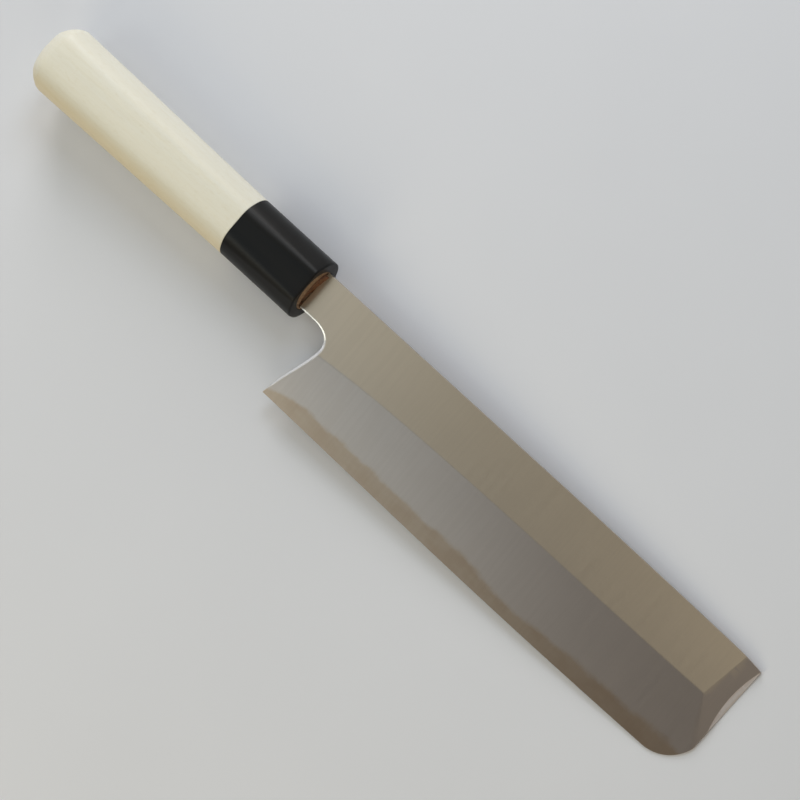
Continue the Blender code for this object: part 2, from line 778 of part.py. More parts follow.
def make_blade(collection, cutters):
    """The soft iron with its tang, and the hard steel layer that backs it and makes the edge."""
    body = ground_blade(cutters)
    iron = copy_object(body, "blade_iron", collection)
    combine(iron, "DIFFERENCE", steel_zone("cut_iron_weld", WELD_GAP, cutters))
    apply_modifiers(iron)
    tang = bar("join_tang", tang_section(TANG_END_X), tang_section(SHOULDER_X + TANG_ROOT), cutters)
    combine(iron, "UNION", tang)
    steel = copy_object(body, "blade_steel", collection)
    combine(steel, "INTERSECT", steel_zone("keep_steel", 0.0, cutters))
    return iron, steel


# Assembly


def lowest(pieces, tilt):
    """Lowest height of some pieces once they are tilted nose down."""
    points = [vert.co for piece in pieces for vert in piece.data.vertices]
    return min(point.z * math.cos(tilt) - point.x * math.sin(tilt) for point in points)


def resting_tilt(handle, blade):
    """Tilt at which the handle and the blade touch the table together."""
    low = 0.0
    high = math.radians(15)
    for _ in range(40):
        middle = (low + high) / 2
        if lowest(blade, middle) > lowest(handle, middle):
            low = middle
        else:
            high = middle
    return high


def lay_on_table(handle, blade, cutters):
    """Parent everything to an empty that lays the knife down, centred over the origin."""
    tilt = resting_tilt(handle, blade)
    turn = Matrix.Rotation(tilt, 4, "Y")
    points = [turn @ vert.co for piece in handle + blade for vert in piece.data.vertices]
    rest = bpy.data.objects.new("rest", None)
    bpy.context.scene.collection.objects.link(rest)
    rest.rotation_euler = (0, tilt, 0)
    rest.location = (
        -(min(point.x for point in points) + max(point.x for point in points)) / 2,
        -(min(point.y for point in points) + max(point.y for point in points)) / 2,
        -min(point.z for point in points),
    )
    for thing in handle + blade + list(cutters.objects):
        thing.parent = rest


def main():
    """Build the knife."""
    clear_scene()
    knife = new_collection("usuba_knife")
    cutters = new_collection("cutters")
    wood = make_handle_wood(knife, cutters)
    ferrule = make_ferrule(knife, cutters)
    dowel = make_dowel(knife, cutters)
    seal = make_seal(knife, cutters)
    iron, steel = make_blade(knife, cutters)
    finish_piece(wood, new_material("magnolia_wood", (0.66, 0.54, 0.37), 0.55), 25)
    finish_piece(ferrule, new_material("black_horn", (0.012, 0.011, 0.012), 0.28), 25)
    finish_piece(dowel, new_material("dowel_wood", (0.24, 0.11, 0.04), 0.6), 25)
    finish_piece(seal, new_material("resin", (0.16, 0.06, 0.02), 0.45), 25)
    finish_piece(iron, new_material("soft_iron", (0.56, 0.54, 0.51), 0.34, 1.0), 3)
    finish_piece(steel, new_material("hard_steel", (0.62, 0.58, 0.52), 0.26, 1.0), 3)
    for cutter in cutters.objects:
        cutter.hide_render = True
        cutter.display_type = "WIRE"
    lay_on_table([wood, ferrule, dowel, seal], [iron, steel], cutters)


main()
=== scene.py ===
"""Usuba knife: finely shaped pieces, finishes, floor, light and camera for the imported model.

KNIFE carries the knife's own frame into the model's. In that frame X runs along the knife, from the joint of
wood and horn towards the end of the blade, Y towards the spine and Z out of the bevelled face. Every piece is
built there. Lengths are in metres.
"""

import math

import bmesh
import bpy
import numpy as np
from mathutils import Matrix, Vector
from mathutils.geometry import delaunay_2d_cdt


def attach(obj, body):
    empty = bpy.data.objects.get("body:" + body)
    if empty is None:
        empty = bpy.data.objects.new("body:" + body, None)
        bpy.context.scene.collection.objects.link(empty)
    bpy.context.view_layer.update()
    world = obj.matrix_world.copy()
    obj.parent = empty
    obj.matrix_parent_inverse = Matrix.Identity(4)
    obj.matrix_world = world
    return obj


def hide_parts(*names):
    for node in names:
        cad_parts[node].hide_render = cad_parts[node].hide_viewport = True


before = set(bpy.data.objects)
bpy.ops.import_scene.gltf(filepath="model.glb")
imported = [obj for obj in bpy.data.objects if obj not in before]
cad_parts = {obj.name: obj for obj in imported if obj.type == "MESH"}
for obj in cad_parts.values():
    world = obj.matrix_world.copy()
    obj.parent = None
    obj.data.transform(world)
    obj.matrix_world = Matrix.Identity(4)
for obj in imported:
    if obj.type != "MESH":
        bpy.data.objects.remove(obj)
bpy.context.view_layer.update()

# How the knife lies, as in the CAD model
REST_TILT = math.radians(2.3068763)
REST_PLACE = Vector((-0.0707130, 0.0130153, 0.0118125))
KNIFE = Matrix.Translation(REST_PLACE) @ Matrix.Rotation(REST_TILT, 4, "Y")

# Millimetres in a metre
MM = 1000

# Handle, from the butt to the mouth of the ferrule. A section is a width, a thickness and how far the corners
# are cut back. An arris is how far the corners are rounded at the top and bottom, and at the sides
WOOD_LENGTH = 0.1045
BUTT_SECTION = (0.0279, 0.0229, 0.0066)
BUTT_ROUNDING = 0.0068
BUTT_DRAW_IN = 0.0060
BUTT_FULLNESS = 1.4
BUTT_ARRIS = (0.0052, 0.0044)
BUTT_CROWN = 0.0004
BUTT_FIRST_ANGLE = 0.06
WOOD_ARRIS = (0.0040, 0.0042)
JOINT_ARRIS = (0.0036, 0.0052)
JOINT_SECTION = (0.0255, 0.0210, 0.0062)
JOINT_EASE = 0.00012
ARRIS_LIMIT = 0.45
FERRULE_LENGTH = 0.036
MOUTH_SECTION = (0.0253, 0.0208, 0.0062)
MOUTH_ROUNDING = 0.0007
MOUTH_ARRIS = (0.0015, 0.0032)
BORE_DIAMETER = 0.0174
BORE_EASE = 0.0005
BORE_EASE_DEPTH = 0.0002
DOWEL_DEPTH = 0.034
DOWEL_RECESS = 0.00012
DOWEL_ROOM = 0.0002
DOWEL_PLAY = 0.00004
DOWEL_TIP_CUT = 0.0016
DOWEL_TIP_LENGTH = 0.0008
DOWEL_EASE = 0.0003
DOWEL_EASE_DEPTH = 0.0001
POCKET_PLAY = 0.0002
POCKET_EASE = 0.0005
POCKET_EASE_DEPTH = 0.00015

# Resin round the tang
SEAL_SIZE = (0.0158, 0.0094)
SEAL_DEPTH = 0.0036
SEAL_SLANT = 0.2
SEAL_SLANT_KEPT = 0.3
SEAL_REACH = 0.0010
SEAL_FILLET = 0.0002
SEAL_FILLET_REACH = 0.0002
SEAL_EASE = 0.00016
SEAL_EASE_DEPTH = 0.00012
SEAL_CORE = 0.02

# Blade outline
SHOULDER_X = 0.0365
HEEL_X = 0.0455
END_X = 0.2463
CORNER_X = 0.2318
NECK_TOP = 0.0085
NECK_BOTTOM = -0.0076
HEEL_DEPTH = 0.0397
CHOIL_LEAN = 0.0071
CHOIL_REACH = 0.0091
CHOIL_HEIGHT = 0.0064
CHOIL_FULLNESS = 0.62
CHOIL_EASE = 0.20
HEEL_EASE = 0.28
HEEL_LEAN = math.radians(4)
EDGE_BELLY = 0.00095
EDGE_BELLY_SKEW = 1.25
EDGE_RISE = 0.0007
CORNER_LENGTH = 0.0145
CORNER_HEIGHT = 0.0110
CORNER_FULLNESS = 0.52
CORNER_LEAN = math.radians(16)
SPINE_DROP = 0.0008
SPINE_DROP_LENGTH = 0.100
SPINE_END_DROP = 0.0008
SPINE_END_DROP_LENGTH = 0.012

# Blade faces
NECK_THICKNESS = 0.0038
TIP_THICKNESS = 0.0027
SPINE_THINNING = 0.00025
BACK_Z = -NECK_THICKNESS / 2
EDGE_THICKNESS = 0.00012
RIDGE_DEPTH = 0.0118
RIDGE_DROP_AT_HEEL = 0.0052
RIDGE_DROP_LENGTH = 0.038
RIDGE_RISE_AT_END = 0.0009
RIDGE_RISE_LENGTH = 0.018
RIDGE_SOFTNESS = 0.000035
RIDGE_SOFTNESS_AT_HEEL = 0.00009
RIDGE_SOFTNESS_LENGTH = 0.016
END_BEVEL_AT_RIDGE = 0.0097
END_BEVEL_AT_SPINE = 0.0071
END_RIM_THICKNESS = 0.00125
END_SOFTNESS = 0.00003
END_SOFTNESS_BELOW = 0.00022
END_SOFTNESS_SPAN = 0.010
END_FACET_SPAN = 0.029
END_FACET_DEPTH = 0.0019
END_FACET_DROP = 0.00085
FACET_SOFTNESS = 0.00002
FACET_STEEPNESS = 0.45
FACET_FADE = 0.00008
BEVEL_FADE = 0.0006
# Share of the pale rim colour, a painted highlight, that the crescent facet takes
FACET_POLISH_HIGHLIGHT = 0.4
NECK_POLISH = 0.0006
CHOIL_POLISH = 0.0014
HEEL_POLISH = 0.0007
CORNER_EASE = 0.0001
POLISH_SLOPE = math.radians(18)
POLISH_BLEND = 0.35
# Share of the rim's width at which its painted highlight colour is full
POLISH_HIGHLIGHT_FULL_AT = 0.5
RIM_TURN_START = 0.93
EASE_SHARE = 0.9
HOLLOW_DEPTH = 0.00045
HOLLOW_RIM = 0.0016
HOLLOW_RUN_OUT = 0.016
HOLLOW_FROM = HEEL_X + CHOIL_LEAN + HOLLOW_RIM
HOLLOW_TO = END_X - HOLLOW_RIM

# Weld between the iron and the steel
STEEL_BAND = 0.0065
STEEL_BAND_AT_HEEL = 0.0023
STEEL_BAND_GROWTH = 0.0085
STEEL_WAVE = 0.0003
STEEL_WAVE_LENGTH = 0.037
STEEL_RIPPLE_SHARE = 0.5
STEEL_RIPPLE_RATE = 2.3
STEEL_DIP = 0.0028
STEEL_DIP_PLACE = 0.124
STEEL_DIP_LENGTH = 0.013
STEEL_SCARF = 0.005
WELD_GAP = 0.000004

# Tang, hidden in the handle: x, width and thickness at either end
TANG_END = (-0.0555, 0.0060, 0.0022)
TANG_ROOT = (0.0360, 0.0120, 0.0032)
TANG_ROOM = 0.0003
TANG_END_BEVEL = 0.0004
SLOT_SQUARENESS = 8

# Fineness of the meshes
GRID_STEP = 0.003
NORMAL_STEP = 0.000005
PATH_STEPS = 40
NECK_STATIONS = 24
EDGE_STATIONS = 110
SPINE_END_STATIONS = 13
RIDGE_STATIONS = 150
WELD_STATIONS = 400
END_STATIONS = 90
HOLLOW_STATIONS = 100
BUTT_RINGS = 26
WOOD_RINGS = 30
FERRULE_RINGS = 12
MOUTH_RINGS = 10
SEAL_RINGS = 26
TANG_RINGS = 12
OVAL_POINTS = 96
ARRIS_POINTS = 8
SIDE_CORNERS = (0, 3, 4, 7)
FLAT_SHARES = (0, 0.04, 0.2, 0.4, 0.6, 0.8, 0.96, 1)
CREASE_SIDES = (-1, -0.5, 0, 0.5, 1)
FACET_SIDES = (-1, 0, 1)
RIM_SHARES = (0.03, 0.07, 0.3, 0.65, 0.77, 0.88, 1.0)
LINE_OVERRUN = 0.002
LINE_END_OVERRUN = 0.001
CREASE_SEARCH = 0.02
FACET_SEARCH = 0.01
HALVINGS = 40
PLAN_TOLERANCE = 1e-6
SHORTEST_EDGE = 1e-12
SHARP_DEGREES = 30
SEAL_SHARP_DEGREES = 60
SMOOTH_TURN = math.cos(math.radians(25))

# Wood
WOOD = (0.86, 0.84, 0.735)
WOOD_WARM = (0.85, 0.815, 0.68)
WOOD_DARK = (0.775, 0.725, 0.57)
# Painted shade: the handle's edge side (-Y) is darkened and turned golden in the colour, from the shade's
# start to the side
WOOD_PAINTED_SHADE = (0.89, 0.81, 0.66)
PAINTED_SHADE_START = -0.0055
PAINTED_SHADE_SIDE = -0.0130
FIBRE_SHARE = 0.25
PORE_SHARE = 0.35
WOOD_ROUGHNESS = (0.38, 0.48)
WOOD_SPECULAR = 0.4
WOOD_BUMP = (0.15, 0.0001)

# Horn, dowel and resin
HORN = (0.002, 0.002, 0.002)
HORN_STREAK = (0.006, 0.0055, 0.005)
HORN_ROUGHNESS = (0.36, 0.44)
HORN_SPECULAR = 0.28
DOWEL = (0.36, 0.22, 0.12)
DOWEL_DARK = (0.22, 0.13, 0.07)
DOWEL_ROUGHNESS = 0.6
RESIN = (0.20, 0.08, 0.03)
RESIN_DARK = (0.12, 0.045, 0.015)
RESIN_ROUGHNESS = 0.55

# Metals
BLACK = (0.0, 0.0, 0.0)
IRON = (0.700, 0.592, 0.465)
IRON_DARK = (0.690, 0.583, 0.457)
BEVEL = (0.545, 0.467, 0.414)
BEVEL_DARK = (0.534, 0.458, 0.406)
STEEL = (0.480, 0.370, 0.278)
STEEL_DARK = (0.455, 0.342, 0.252)
# Pale colour of the polished rim and crescent facet: real polish, with a painted highlight in the colour
RIM_HIGHLIGHT = (0.80, 0.80, 0.80)
METAL_ROUGHNESS = (0.285, 0.305)
METAL_BUMP = (0.2, 0.00001)
GRIND_SHARE = 0.03

# Blend of the metals at the weld, in millimetres
WELD_BLEND = 0.14
WELD_PATCH_SHIFT = 0.30
WELD_WAVE_SHIFT = 0.50
FAR_BELOW_WELD = -9.0

# Noises: repeats in a metre along X, Y and Z, detail, roughness and, where they are given, distortion and the
# turn of the noise's lattice
WOOD_FIBRES = ((60, 900, 900), 4, 0.6)
WOOD_BANDS = ((5, 110, 70), 3, 0.5, 0.4)
WOOD_PORES = ((450, 1100, 1100), 3, 0.6)
HORN_STREAKS = ((12, 260, 260), 4, 0.6)
BROWN_SPOTS = ((900, 900, 900), 4, 0.6)
IRON_HAZE = ((30, 80, 80), 3, 0.5)
STEEL_HAZE = ((90, 160, 160), 3, 0.5)
GRIND_LINES = ((700, 35, 35), 2, 0.5, 0.0, (0.0, 0.0, math.radians(12)))
METAL_WAVES = ((45, 70, 70), 1, 0.4)
WELD_PATCHES = ((260, 420, 420), 4, 0.6)
WELD_WAVES = ((60, 90, 90), 2, 0.5)
FLOOR_MOTTLE = ((6, 6, 6), 4, 0.5)

# Floor
FLOOR = (0.76, 0.78, 0.84)
FLOOR_DARK = (0.74, 0.76, 0.82)
FLOOR_ROUGHNESS = 0.9
FLOOR_SIZE = 12.0

# Lamps, in the knife's frame: name, azimuth, elevation, distance, size, power, colour
LAMP_TARGET = Vector((0.08, 0, 0))
LAMPS = (
    ("spine_side", 105, 45, 1.0, 0.4, 2.1, (0.86, 0.94, 1.0)),
    ("spine_low", 135, 20, 1.0, 0.4, 4.0, (1.0, 0.96, 0.92)),
    ("overhead", 60, 74, 1.0, 0.4, 0.63, (1.0, 0.93, 0.74)),
    ("edge_side", 225, 40, 1.0, 0.4, 0.99, (1.0, 0.98, 0.83)),
    ("edge_low", 270, 30, 1.0, 0.4, 2.2, (1.0, 0.86, 0.60)),
    ("front", 320, 38, 1.0, 0.4, 0.9, (1.0, 0.92, 0.68)),
    ("edge_high", 225, 55, 1.0, 0.4, 0.11, (0.10, 0.57, 1.0)),
    ("butt_high", 190, 60, 1.0, 0.4, 0.28, (0.74, 0.85, 1.0)),
    ("heel_high", 160, 65, 1.0, 0.4, 0.14, (0.92, 0.92, 0.58)),
    ("bevel_spot", 245, 58, 0.6, 0.2, 0.055, (0.92, 1.0, 0.97)),
    ("rim_spot", 190, 36, 1.0, 0.3, 0.30, (0.95, 0.97, 1.0)),
    ("end_spot", 353, 36, 0.7, 0.4, 0.22, (1.0, 0.96, 0.90)),
)
WORLD_COLOUR = (1.0, 1.0, 1.0)
WORLD_STRENGTH = 0.137

# Camera, in the knife's frame
CAMERA_AZIMUTH = math.radians(18.6108)
CAMERA_ELEVATION = math.radians(72.7645)
CAMERA_ROLL = math.radians(-66.7902)
CAMERA_DISTANCE = 1.019417
CAMERA_TARGET = Vector((0.087081, -0.007968, 0.0))
FOCAL_PIXELS = 2873.01
IMAGE_PIXELS = 800
SENSOR = 36.0


# Nodes


class Shader:
    """A material's node tree, with short calls for the nodes used here."""

    def __init__(self, name):
        self.material = bpy.data.materials.new(name)
        self.material.use_nodes = True
        self.tree = self.material.node_tree
        self.principled = self.tree.nodes["Principled BSDF"]
        self.place = self.tree.nodes.new("ShaderNodeTexCoord").outputs["Object"]

    def node(self, kind, settings=None, **inputs):
        """A node with its settings, and its inputs set to values or linked to sockets."""
        made = self.tree.nodes.new(kind)
        for key, value in (settings or {}).items():
            setattr(made, key, value)
        for key, value in inputs.items():
            self.put(made.inputs[key.replace("_", " ")], value)
        return made

    def put(self, socket, value):
        """Link a socket to another, or set its value. A colour is given without its alpha."""
        if isinstance(value, bpy.types.NodeSocket):
            self.tree.links.new(value, socket)
        else:
            socket.default_value = (*value, 1.0) if socket.type == "RGBA" else value

    def math(self, operation, first, second):
        """A Math node's result."""
        made = self.tree.nodes.new("ShaderNodeMath")
        made.operation = operation
        self.put(made.inputs[0], first)
        self.put(made.inputs[1], second)
        return made.outputs[0]

    def noise(self, repeats, detail, roughness, distortion=0.0, turn=(0.0, 0.0, 0.0)):
        """A Noise texture's value, over the piece's coordinates stretched along each axis and then turned."""
        stretched = self.node("ShaderNodeMapping", Vector=self.place, Rotation=turn, Scale=repeats)
        made = self.node(
            "ShaderNodeTexNoise",
            Vector=stretched.outputs["Vector"],
            Scale=1.0,
            Detail=detail,
            Roughness=roughness,
            Distortion=distortion,
        )
        return made.outputs["Fac"]

    def axis(self, name):
        """One of the piece's coordinates."""
        made = self.node("ShaderNodeSeparateXYZ", Vector=self.place)
        return made.outputs[name]

    def attribute(self, name):
        """A number stored on the mesh."""
        made = self.node("ShaderNodeAttribute", {"attribute_name": name})
        return made.outputs["Fac"]

    def ramp(self, value, stops):
        """A colour ramp through (position, colour) stops."""
        made = self.tree.nodes.new("ShaderNodeValToRGB")
        self.put(made.inputs["Fac"], value)
        elements = made.color_ramp.elements
        while len(elements) < len(stops):
            elements.new(0.5)
        for element, (position, colour) in zip(elements, stops):
            element.position = position
            element.color = (*colour, 1.0)
        return made.outputs["Color"]

    def span(self, value, low, high, to_low=0.0, to_high=1.0):
        """A value mapped smoothly from one range to another, and held within it."""
        made = self.tree.nodes.new("ShaderNodeMapRange")
        made.interpolation_type = "SMOOTHSTEP"
        for socket, number in zip(made.inputs[:5], (value, low, high, to_low, to_high)):
            self.put(socket, number)
        return made.outputs[0]

    def mix(self, share, first, second, blend="MIX"):
        """Two colours mixed."""
        made = self.tree.nodes.new("ShaderNodeMix")
        made.data_type = "RGBA"
        made.blend_type = blend
        for index, value in ((0, share), (6, first), (7, second)):
            self.put(made.inputs[index], value)
        return made.outputs[2]

    def bump(self, height, strength, distance):
        """A Bump node's normal."""
        made = self.node("ShaderNodeBump", Height=height, Strength=strength, Distance=distance)
        return made.outputs["Normal"]

    def finish(self, **inputs):
        """Set the Principled shader's inputs and return the material."""
        for key, value in inputs.items():
            self.put(self.principled.inputs[key.replace("_", " ")], value)
        return self.material


# Pieces


def place_piece(name, mesh, material, node):
    """Add a piece that stands for a CAD node and rides on the knife."""
    piece = bpy.data.objects.new(name, mesh)
    bpy.context.scene.collection.objects.link(piece)
    piece.matrix_world = KNIFE
    mesh.materials.append(material)
    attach(piece, "root")
    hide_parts(node)


def loft(name, rings, closed=False, sharp_degrees=SHARP_DEGREES):
    """A mesh through rings of points: capped at both ends, or closed into a loop of rings."""
    bm = bmesh.new()
    rows = [[bm.verts.new(point) for point in ring] for ring in rings]
    count = len(rings[0])
    pairs = list(zip(rows, rows[1:]))
    if closed:
        pairs.append((rows[-1], rows[0]))
    for near, far in pairs:
        for i in range(count):
            j = (i + 1) % count
            bm.faces.new((near[i], near[j], far[j], far[i]))
    if not closed:
        bm.faces.new(rows[0])
        bm.faces.new(rows[-1])
    bmesh.ops.recalc_face_normals(bm, faces=bm.faces)
    mesh = bpy.data.meshes.new(name)
    bm.to_mesh(mesh)
    bm.free()
    mesh.shade_smooth()
    mesh.set_sharp_from_angle(angle=math.radians(sharp_degrees))
    return mesh


# Handle


def octagon_ring(x, section, arris, crown=0.0):
    """A cross-section of the handle: an octagon with rounded corners. A crown makes its sides full."""
    width, thickness, inset = section
    half_y = width / 2
    half_z = thickness / 2

    def rounded_share(line, at_side):
        return min(arris[at_side] / line.length, ARRIS_LIMIT)

    corners = []
    for sign_y, sign_z in ((1, 1), (-1, 1), (-1, -1), (1, -1)):
        side = Vector((sign_y * half_y, sign_z * (half_z - inset)))
        top = Vector((sign_y * (half_y - inset), sign_z * half_z))
        corners.extend([side, top] if sign_y == sign_z else [top, side])
    count = len(corners)
    ring = []
    for k, corner in enumerate(corners):
        following = corners[(k + 1) % count]
        beyond = corners[(k + 2) % count] - following
        along = following - corner
        outward = Vector((along.y, -along.x)).normalized()
        bulge = crown * along.length / (width - 2 * inset)
        ends_at_side = (k + 1) % count in SIDE_CORNERS
        margin = rounded_share(along, k in SIDE_CORNERS)
        room = 1 - margin - rounded_share(along, ends_at_side)
        for part in FLAT_SHARES:
            share = margin + room * part
            ring.append(corner + along * share + outward * bulge * 4 * share * (1 - share))
        leaving = ring[-1]
        entering = following + beyond * rounded_share(beyond, ends_at_side)
        for share in np.linspace(0, 1, ARRIS_POINTS)[1:-1]:
            near = leaving.lerp(following, share)
            far = following.lerp(entering, share)
            ring.append(near.lerp(far, share))
    return [Vector((x, point.x, point.y)) for point in ring]


def drawn_in(section, amount):
    """An octagon whose eight sides all move inwards."""
    width, thickness, inset = section
    return width - 2 * amount, thickness - 2 * amount, inset - amount * (2 - math.sqrt(2))


def between(first, last, share):
    """Numbers part of the way from the first set to the last."""
    return [a + (b - a) * share for a, b in zip(first, last)]


def circle_like(ring, x, diameter):
    """A circle at x whose points stand at the same angles as the ring's."""
    points = []
    for point in ring:
        outward = Vector((0, point.y, point.z)).normalized() * (diameter / 2)
        points.append(Vector((x, outward.y, outward.z)))
    return points


def slot_like(ring, x, width, height):
    """A rounded slot at x whose points stand at the same angles as the ring's."""
    points = []
    for point in ring:
        outward = Vector((0, point.y, point.z)).normalized()
        across = abs(2 * outward.y / width) ** SLOT_SQUARENESS
        upwards = abs(2 * outward.z / height) ** SLOT_SQUARENESS
        reach = (across + upwards) ** (-1 / SLOT_SQUARENESS)
        points.append(Vector((x, outward.y * reach, outward.z * reach)))
    return points


def tang_size(x):
    """Width and thickness of the tang at x."""
    share = (x - TANG_END[0]) / (TANG_ROOT[0] - TANG_END[0])
    return between(TANG_END[1:], TANG_ROOT[1:], share)


def tang_slot(ring, x):
    """The slot round the tang at x."""
    width, thickness = tang_size(x)
    return slot_like(ring, x, width + 2 * TANG_ROOM, thickness + 2 * TANG_ROOM)


def tang_mesh():
    """The tang, a tapered bar with rounded corners and a small bevel round its end."""
    round_ring = oval(0, 1, 1)
    start = TANG_END[0]
    width, thickness = tang_size(start)
    rings = [
        slot_like(round_ring, start, width - 2 * TANG_END_BEVEL, thickness - 2 * TANG_END_BEVEL),
        slot_like(round_ring, start + TANG_END_BEVEL, width, thickness),
    ]
    for x in np.linspace(start, TANG_ROOT[0], TANG_RINGS)[1:]:
        rings.append(slot_like(round_ring, x, *tang_size(x)))
    return loft("tang", rings)


def wood_mesh():
    """Handle wood: a rounded butt, a long taper, softened arrises and a bore for the dowel."""
    rings = []
    for angle in np.linspace(BUTT_FIRST_ANGLE, math.pi / 2, BUTT_RINGS):
        share = 1 - math.sin(angle) ** BUTT_FULLNESS
        x = -WOOD_LENGTH + BUTT_ROUNDING * (1 - math.cos(angle) ** BUTT_FULLNESS)
        section = drawn_in(BUTT_SECTION, BUTT_DRAW_IN * share)
        rings.append(octagon_ring(x, section, between(WOOD_ARRIS, BUTT_ARRIS, share), BUTT_CROWN))
    start = -WOOD_LENGTH + BUTT_ROUNDING
    for share in np.linspace(0, 1, WOOD_RINGS)[1:-1]:
        section = between(BUTT_SECTION, JOINT_SECTION, share)
        arris = between(WOOD_ARRIS, JOINT_ARRIS, share)
        rings.append(octagon_ring(start * (1 - share), section, arris, BUTT_CROWN * (1 - share)))
    rings.append(octagon_ring(-JOINT_EASE, JOINT_SECTION, JOINT_ARRIS))
    rings.append(octagon_ring(0, drawn_in(JOINT_SECTION, JOINT_EASE), JOINT_ARRIS))
    rings.append(circle_like(rings[-1], 0, BORE_DIAMETER))
    rings.append(circle_like(rings[-1], -DOWEL_DEPTH, BORE_DIAMETER))
    rings.append(tang_slot(rings[-1], -DOWEL_DEPTH))
    rings.append(tang_slot(rings[-1], TANG_END[0] - TANG_ROOM))
    return loft("wooden_handle", rings)


def ferrule_mesh():
    """Horn ferrule: flat facets, crisp arrises, a rounded front rim and a bore."""
    rings = [octagon_ring(0, drawn_in(JOINT_SECTION, JOINT_EASE), JOINT_ARRIS)]
    for x in np.linspace(JOINT_EASE, FERRULE_LENGTH - MOUTH_ROUNDING, FERRULE_RINGS)[:-1]:
        share = x / FERRULE_LENGTH
        section = between(JOINT_SECTION, MOUTH_SECTION, share)
        rings.append(octagon_ring(x, section, between(JOINT_ARRIS, MOUTH_ARRIS, share)))
    for angle in np.linspace(math.pi / 2, 0, MOUTH_RINGS):
        x = FERRULE_LENGTH - MOUTH_ROUNDING * (1 - math.cos(angle))
        section = drawn_in(MOUTH_SECTION, MOUTH_ROUNDING * (1 - math.sin(angle)))
        rings.append(octagon_ring(x, section, MOUTH_ARRIS))
    mouth = rings[-1]
    rings.append(circle_like(mouth, FERRULE_LENGTH, BORE_DIAMETER + BORE_EASE))
    rings.append(circle_like(mouth, FERRULE_LENGTH - BORE_EASE_DEPTH, BORE_DIAMETER))
    rings.append(circle_like(mouth, 0, BORE_DIAMETER))
    return loft("ferrule", rings, closed=True)


def oval(x, width, height):
    """An oval cross-section; x is a number or a function of (y, z)."""
    ring = []
    for k in range(OVAL_POINTS):
        y = width / 2 * math.cos(2 * math.pi * k / OVAL_POINTS)
        z = height / 2 * math.sin(2 * math.pi * k / OVAL_POINTS)
        ring.append(Vector((x(y, z) if callable(x) else x, y, z)))
    return ring


def dowel_mesh():
    """Dowel: its end grain shows round the resin at the mouth, and an oval pocket holds the resin."""
    inner = -DOWEL_DEPTH + DOWEL_ROOM
    face = FERRULE_LENGTH - DOWEL_RECESS
    pocket = FERRULE_LENGTH - SEAL_DEPTH - DOWEL_ROOM
    outside = (
        (inner, DOWEL_TIP_CUT),
        (inner + DOWEL_TIP_LENGTH, DOWEL_PLAY),
        (face - DOWEL_EASE_DEPTH, DOWEL_PLAY),
        (face, DOWEL_EASE),
    )
    inside_pocket = ((face, POCKET_EASE), (face - POCKET_EASE_DEPTH, POCKET_PLAY), (pocket, POCKET_PLAY))
    rings = [oval(x, BORE_DIAMETER - less, BORE_DIAMETER - less) for x, less in outside]
    rings += [oval(x, SEAL_SIZE[0] + more, SEAL_SIZE[1] + more) for x, more in inside_pocket]
    rings.append(tang_slot(rings[0], pocket))
    rings.append(tang_slot(rings[0], inner))
    return loft("dowel", rings, closed=True)


def seal_mesh():
    """Resin plug: its face slants across the mouth and climbs a little way up the neck."""
    width, height = SEAL_SIZE

    def front(y, z):
        above = max(0.0, abs(z) - NECK_THICKNESS / 2)
        fading = SEAL_SLANT_KEPT + (1 - SEAL_SLANT_KEPT) * math.exp(-above / SEAL_REACH)
        fillet = SEAL_FILLET * math.exp(-above / SEAL_FILLET_REACH)
        return FERRULE_LENGTH + SEAL_SLANT * y * fading + fillet

    rings = [oval(FERRULE_LENGTH - SEAL_DEPTH, width, height)]
    rings.append(oval(lambda y, z: front(y, z) - SEAL_EASE_DEPTH, width, height))
    for share in np.linspace(1, SEAL_CORE, SEAL_RINGS):
        rings.append(oval(front, (width - SEAL_EASE) * share, (height - SEAL_EASE) * share))
    return loft("resin_seal", rings, sharp_degrees=SEAL_SHARP_DEGREES)


# Blade outline


def spine_y(x):
    """Height of the spine: level from the neck, and falling a little towards the end."""
    gentle = np.maximum(0.0, 1 - (END_X - x) / SPINE_DROP_LENGTH)
    quick = np.maximum(0.0, 1 - (END_X - x) / SPINE_END_DROP_LENGTH)
    return NECK_TOP - SPINE_DROP * gentle**2 - SPINE_END_DROP * quick**2


def edge_y(x):
    """Height of the cutting edge, with its slight belly."""
    share = (x - HEEL_X) / (CORNER_X - HEEL_X)
    belly = np.sin(np.pi * np.clip(share, 0, 1) ** EDGE_BELLY_SKEW)
    return -HEEL_DEPTH + EDGE_RISE * share - EDGE_BELLY * belly


def bezier(points):
    """Points along a cubic curve, both ends included."""
    a, b, c, d = (np.array(point, dtype=float) for point in points)
    t = np.linspace(0, 1, PATH_STEPS + 1)[:, None]
    s = 1 - t
    return a * s**3 + b * (3 * s * s * t) + c * (3 * s * t * t) + d * t**3


def choil_path():
    """From the shoulder along the underside of the neck, round the choil and down to the heel."""
    turn_x = HEEL_X + CHOIL_LEAN
    turn_y = NECK_BOTTOM - CHOIL_HEIGHT
    around = bezier(
        [
            (turn_x - CHOIL_REACH, NECK_BOTTOM),
            (turn_x - CHOIL_REACH * (1 - CHOIL_FULLNESS), NECK_BOTTOM),
            (turn_x, turn_y + CHOIL_HEIGHT * CHOIL_FULLNESS),
            (turn_x, turn_y),
        ]
    )
    drop = turn_y + HEEL_DEPTH
    last_rise = HEEL_EASE * drop
    down = bezier(
        [
            (turn_x, turn_y),
            (turn_x, turn_y - CHOIL_EASE * drop),
            (HEEL_X + last_rise * math.tan(HEEL_LEAN), -HEEL_DEPTH + last_rise),
            (HEEL_X, -HEEL_DEPTH),
        ]
    )
    neck_x = np.linspace(SHOULDER_X, turn_x - CHOIL_REACH, NECK_STATIONS, endpoint=False)
    neck = np.stack([neck_x, np.full(NECK_STATIONS, NECK_BOTTOM)], 1)
    return np.concatenate([neck, around, down[1:]])


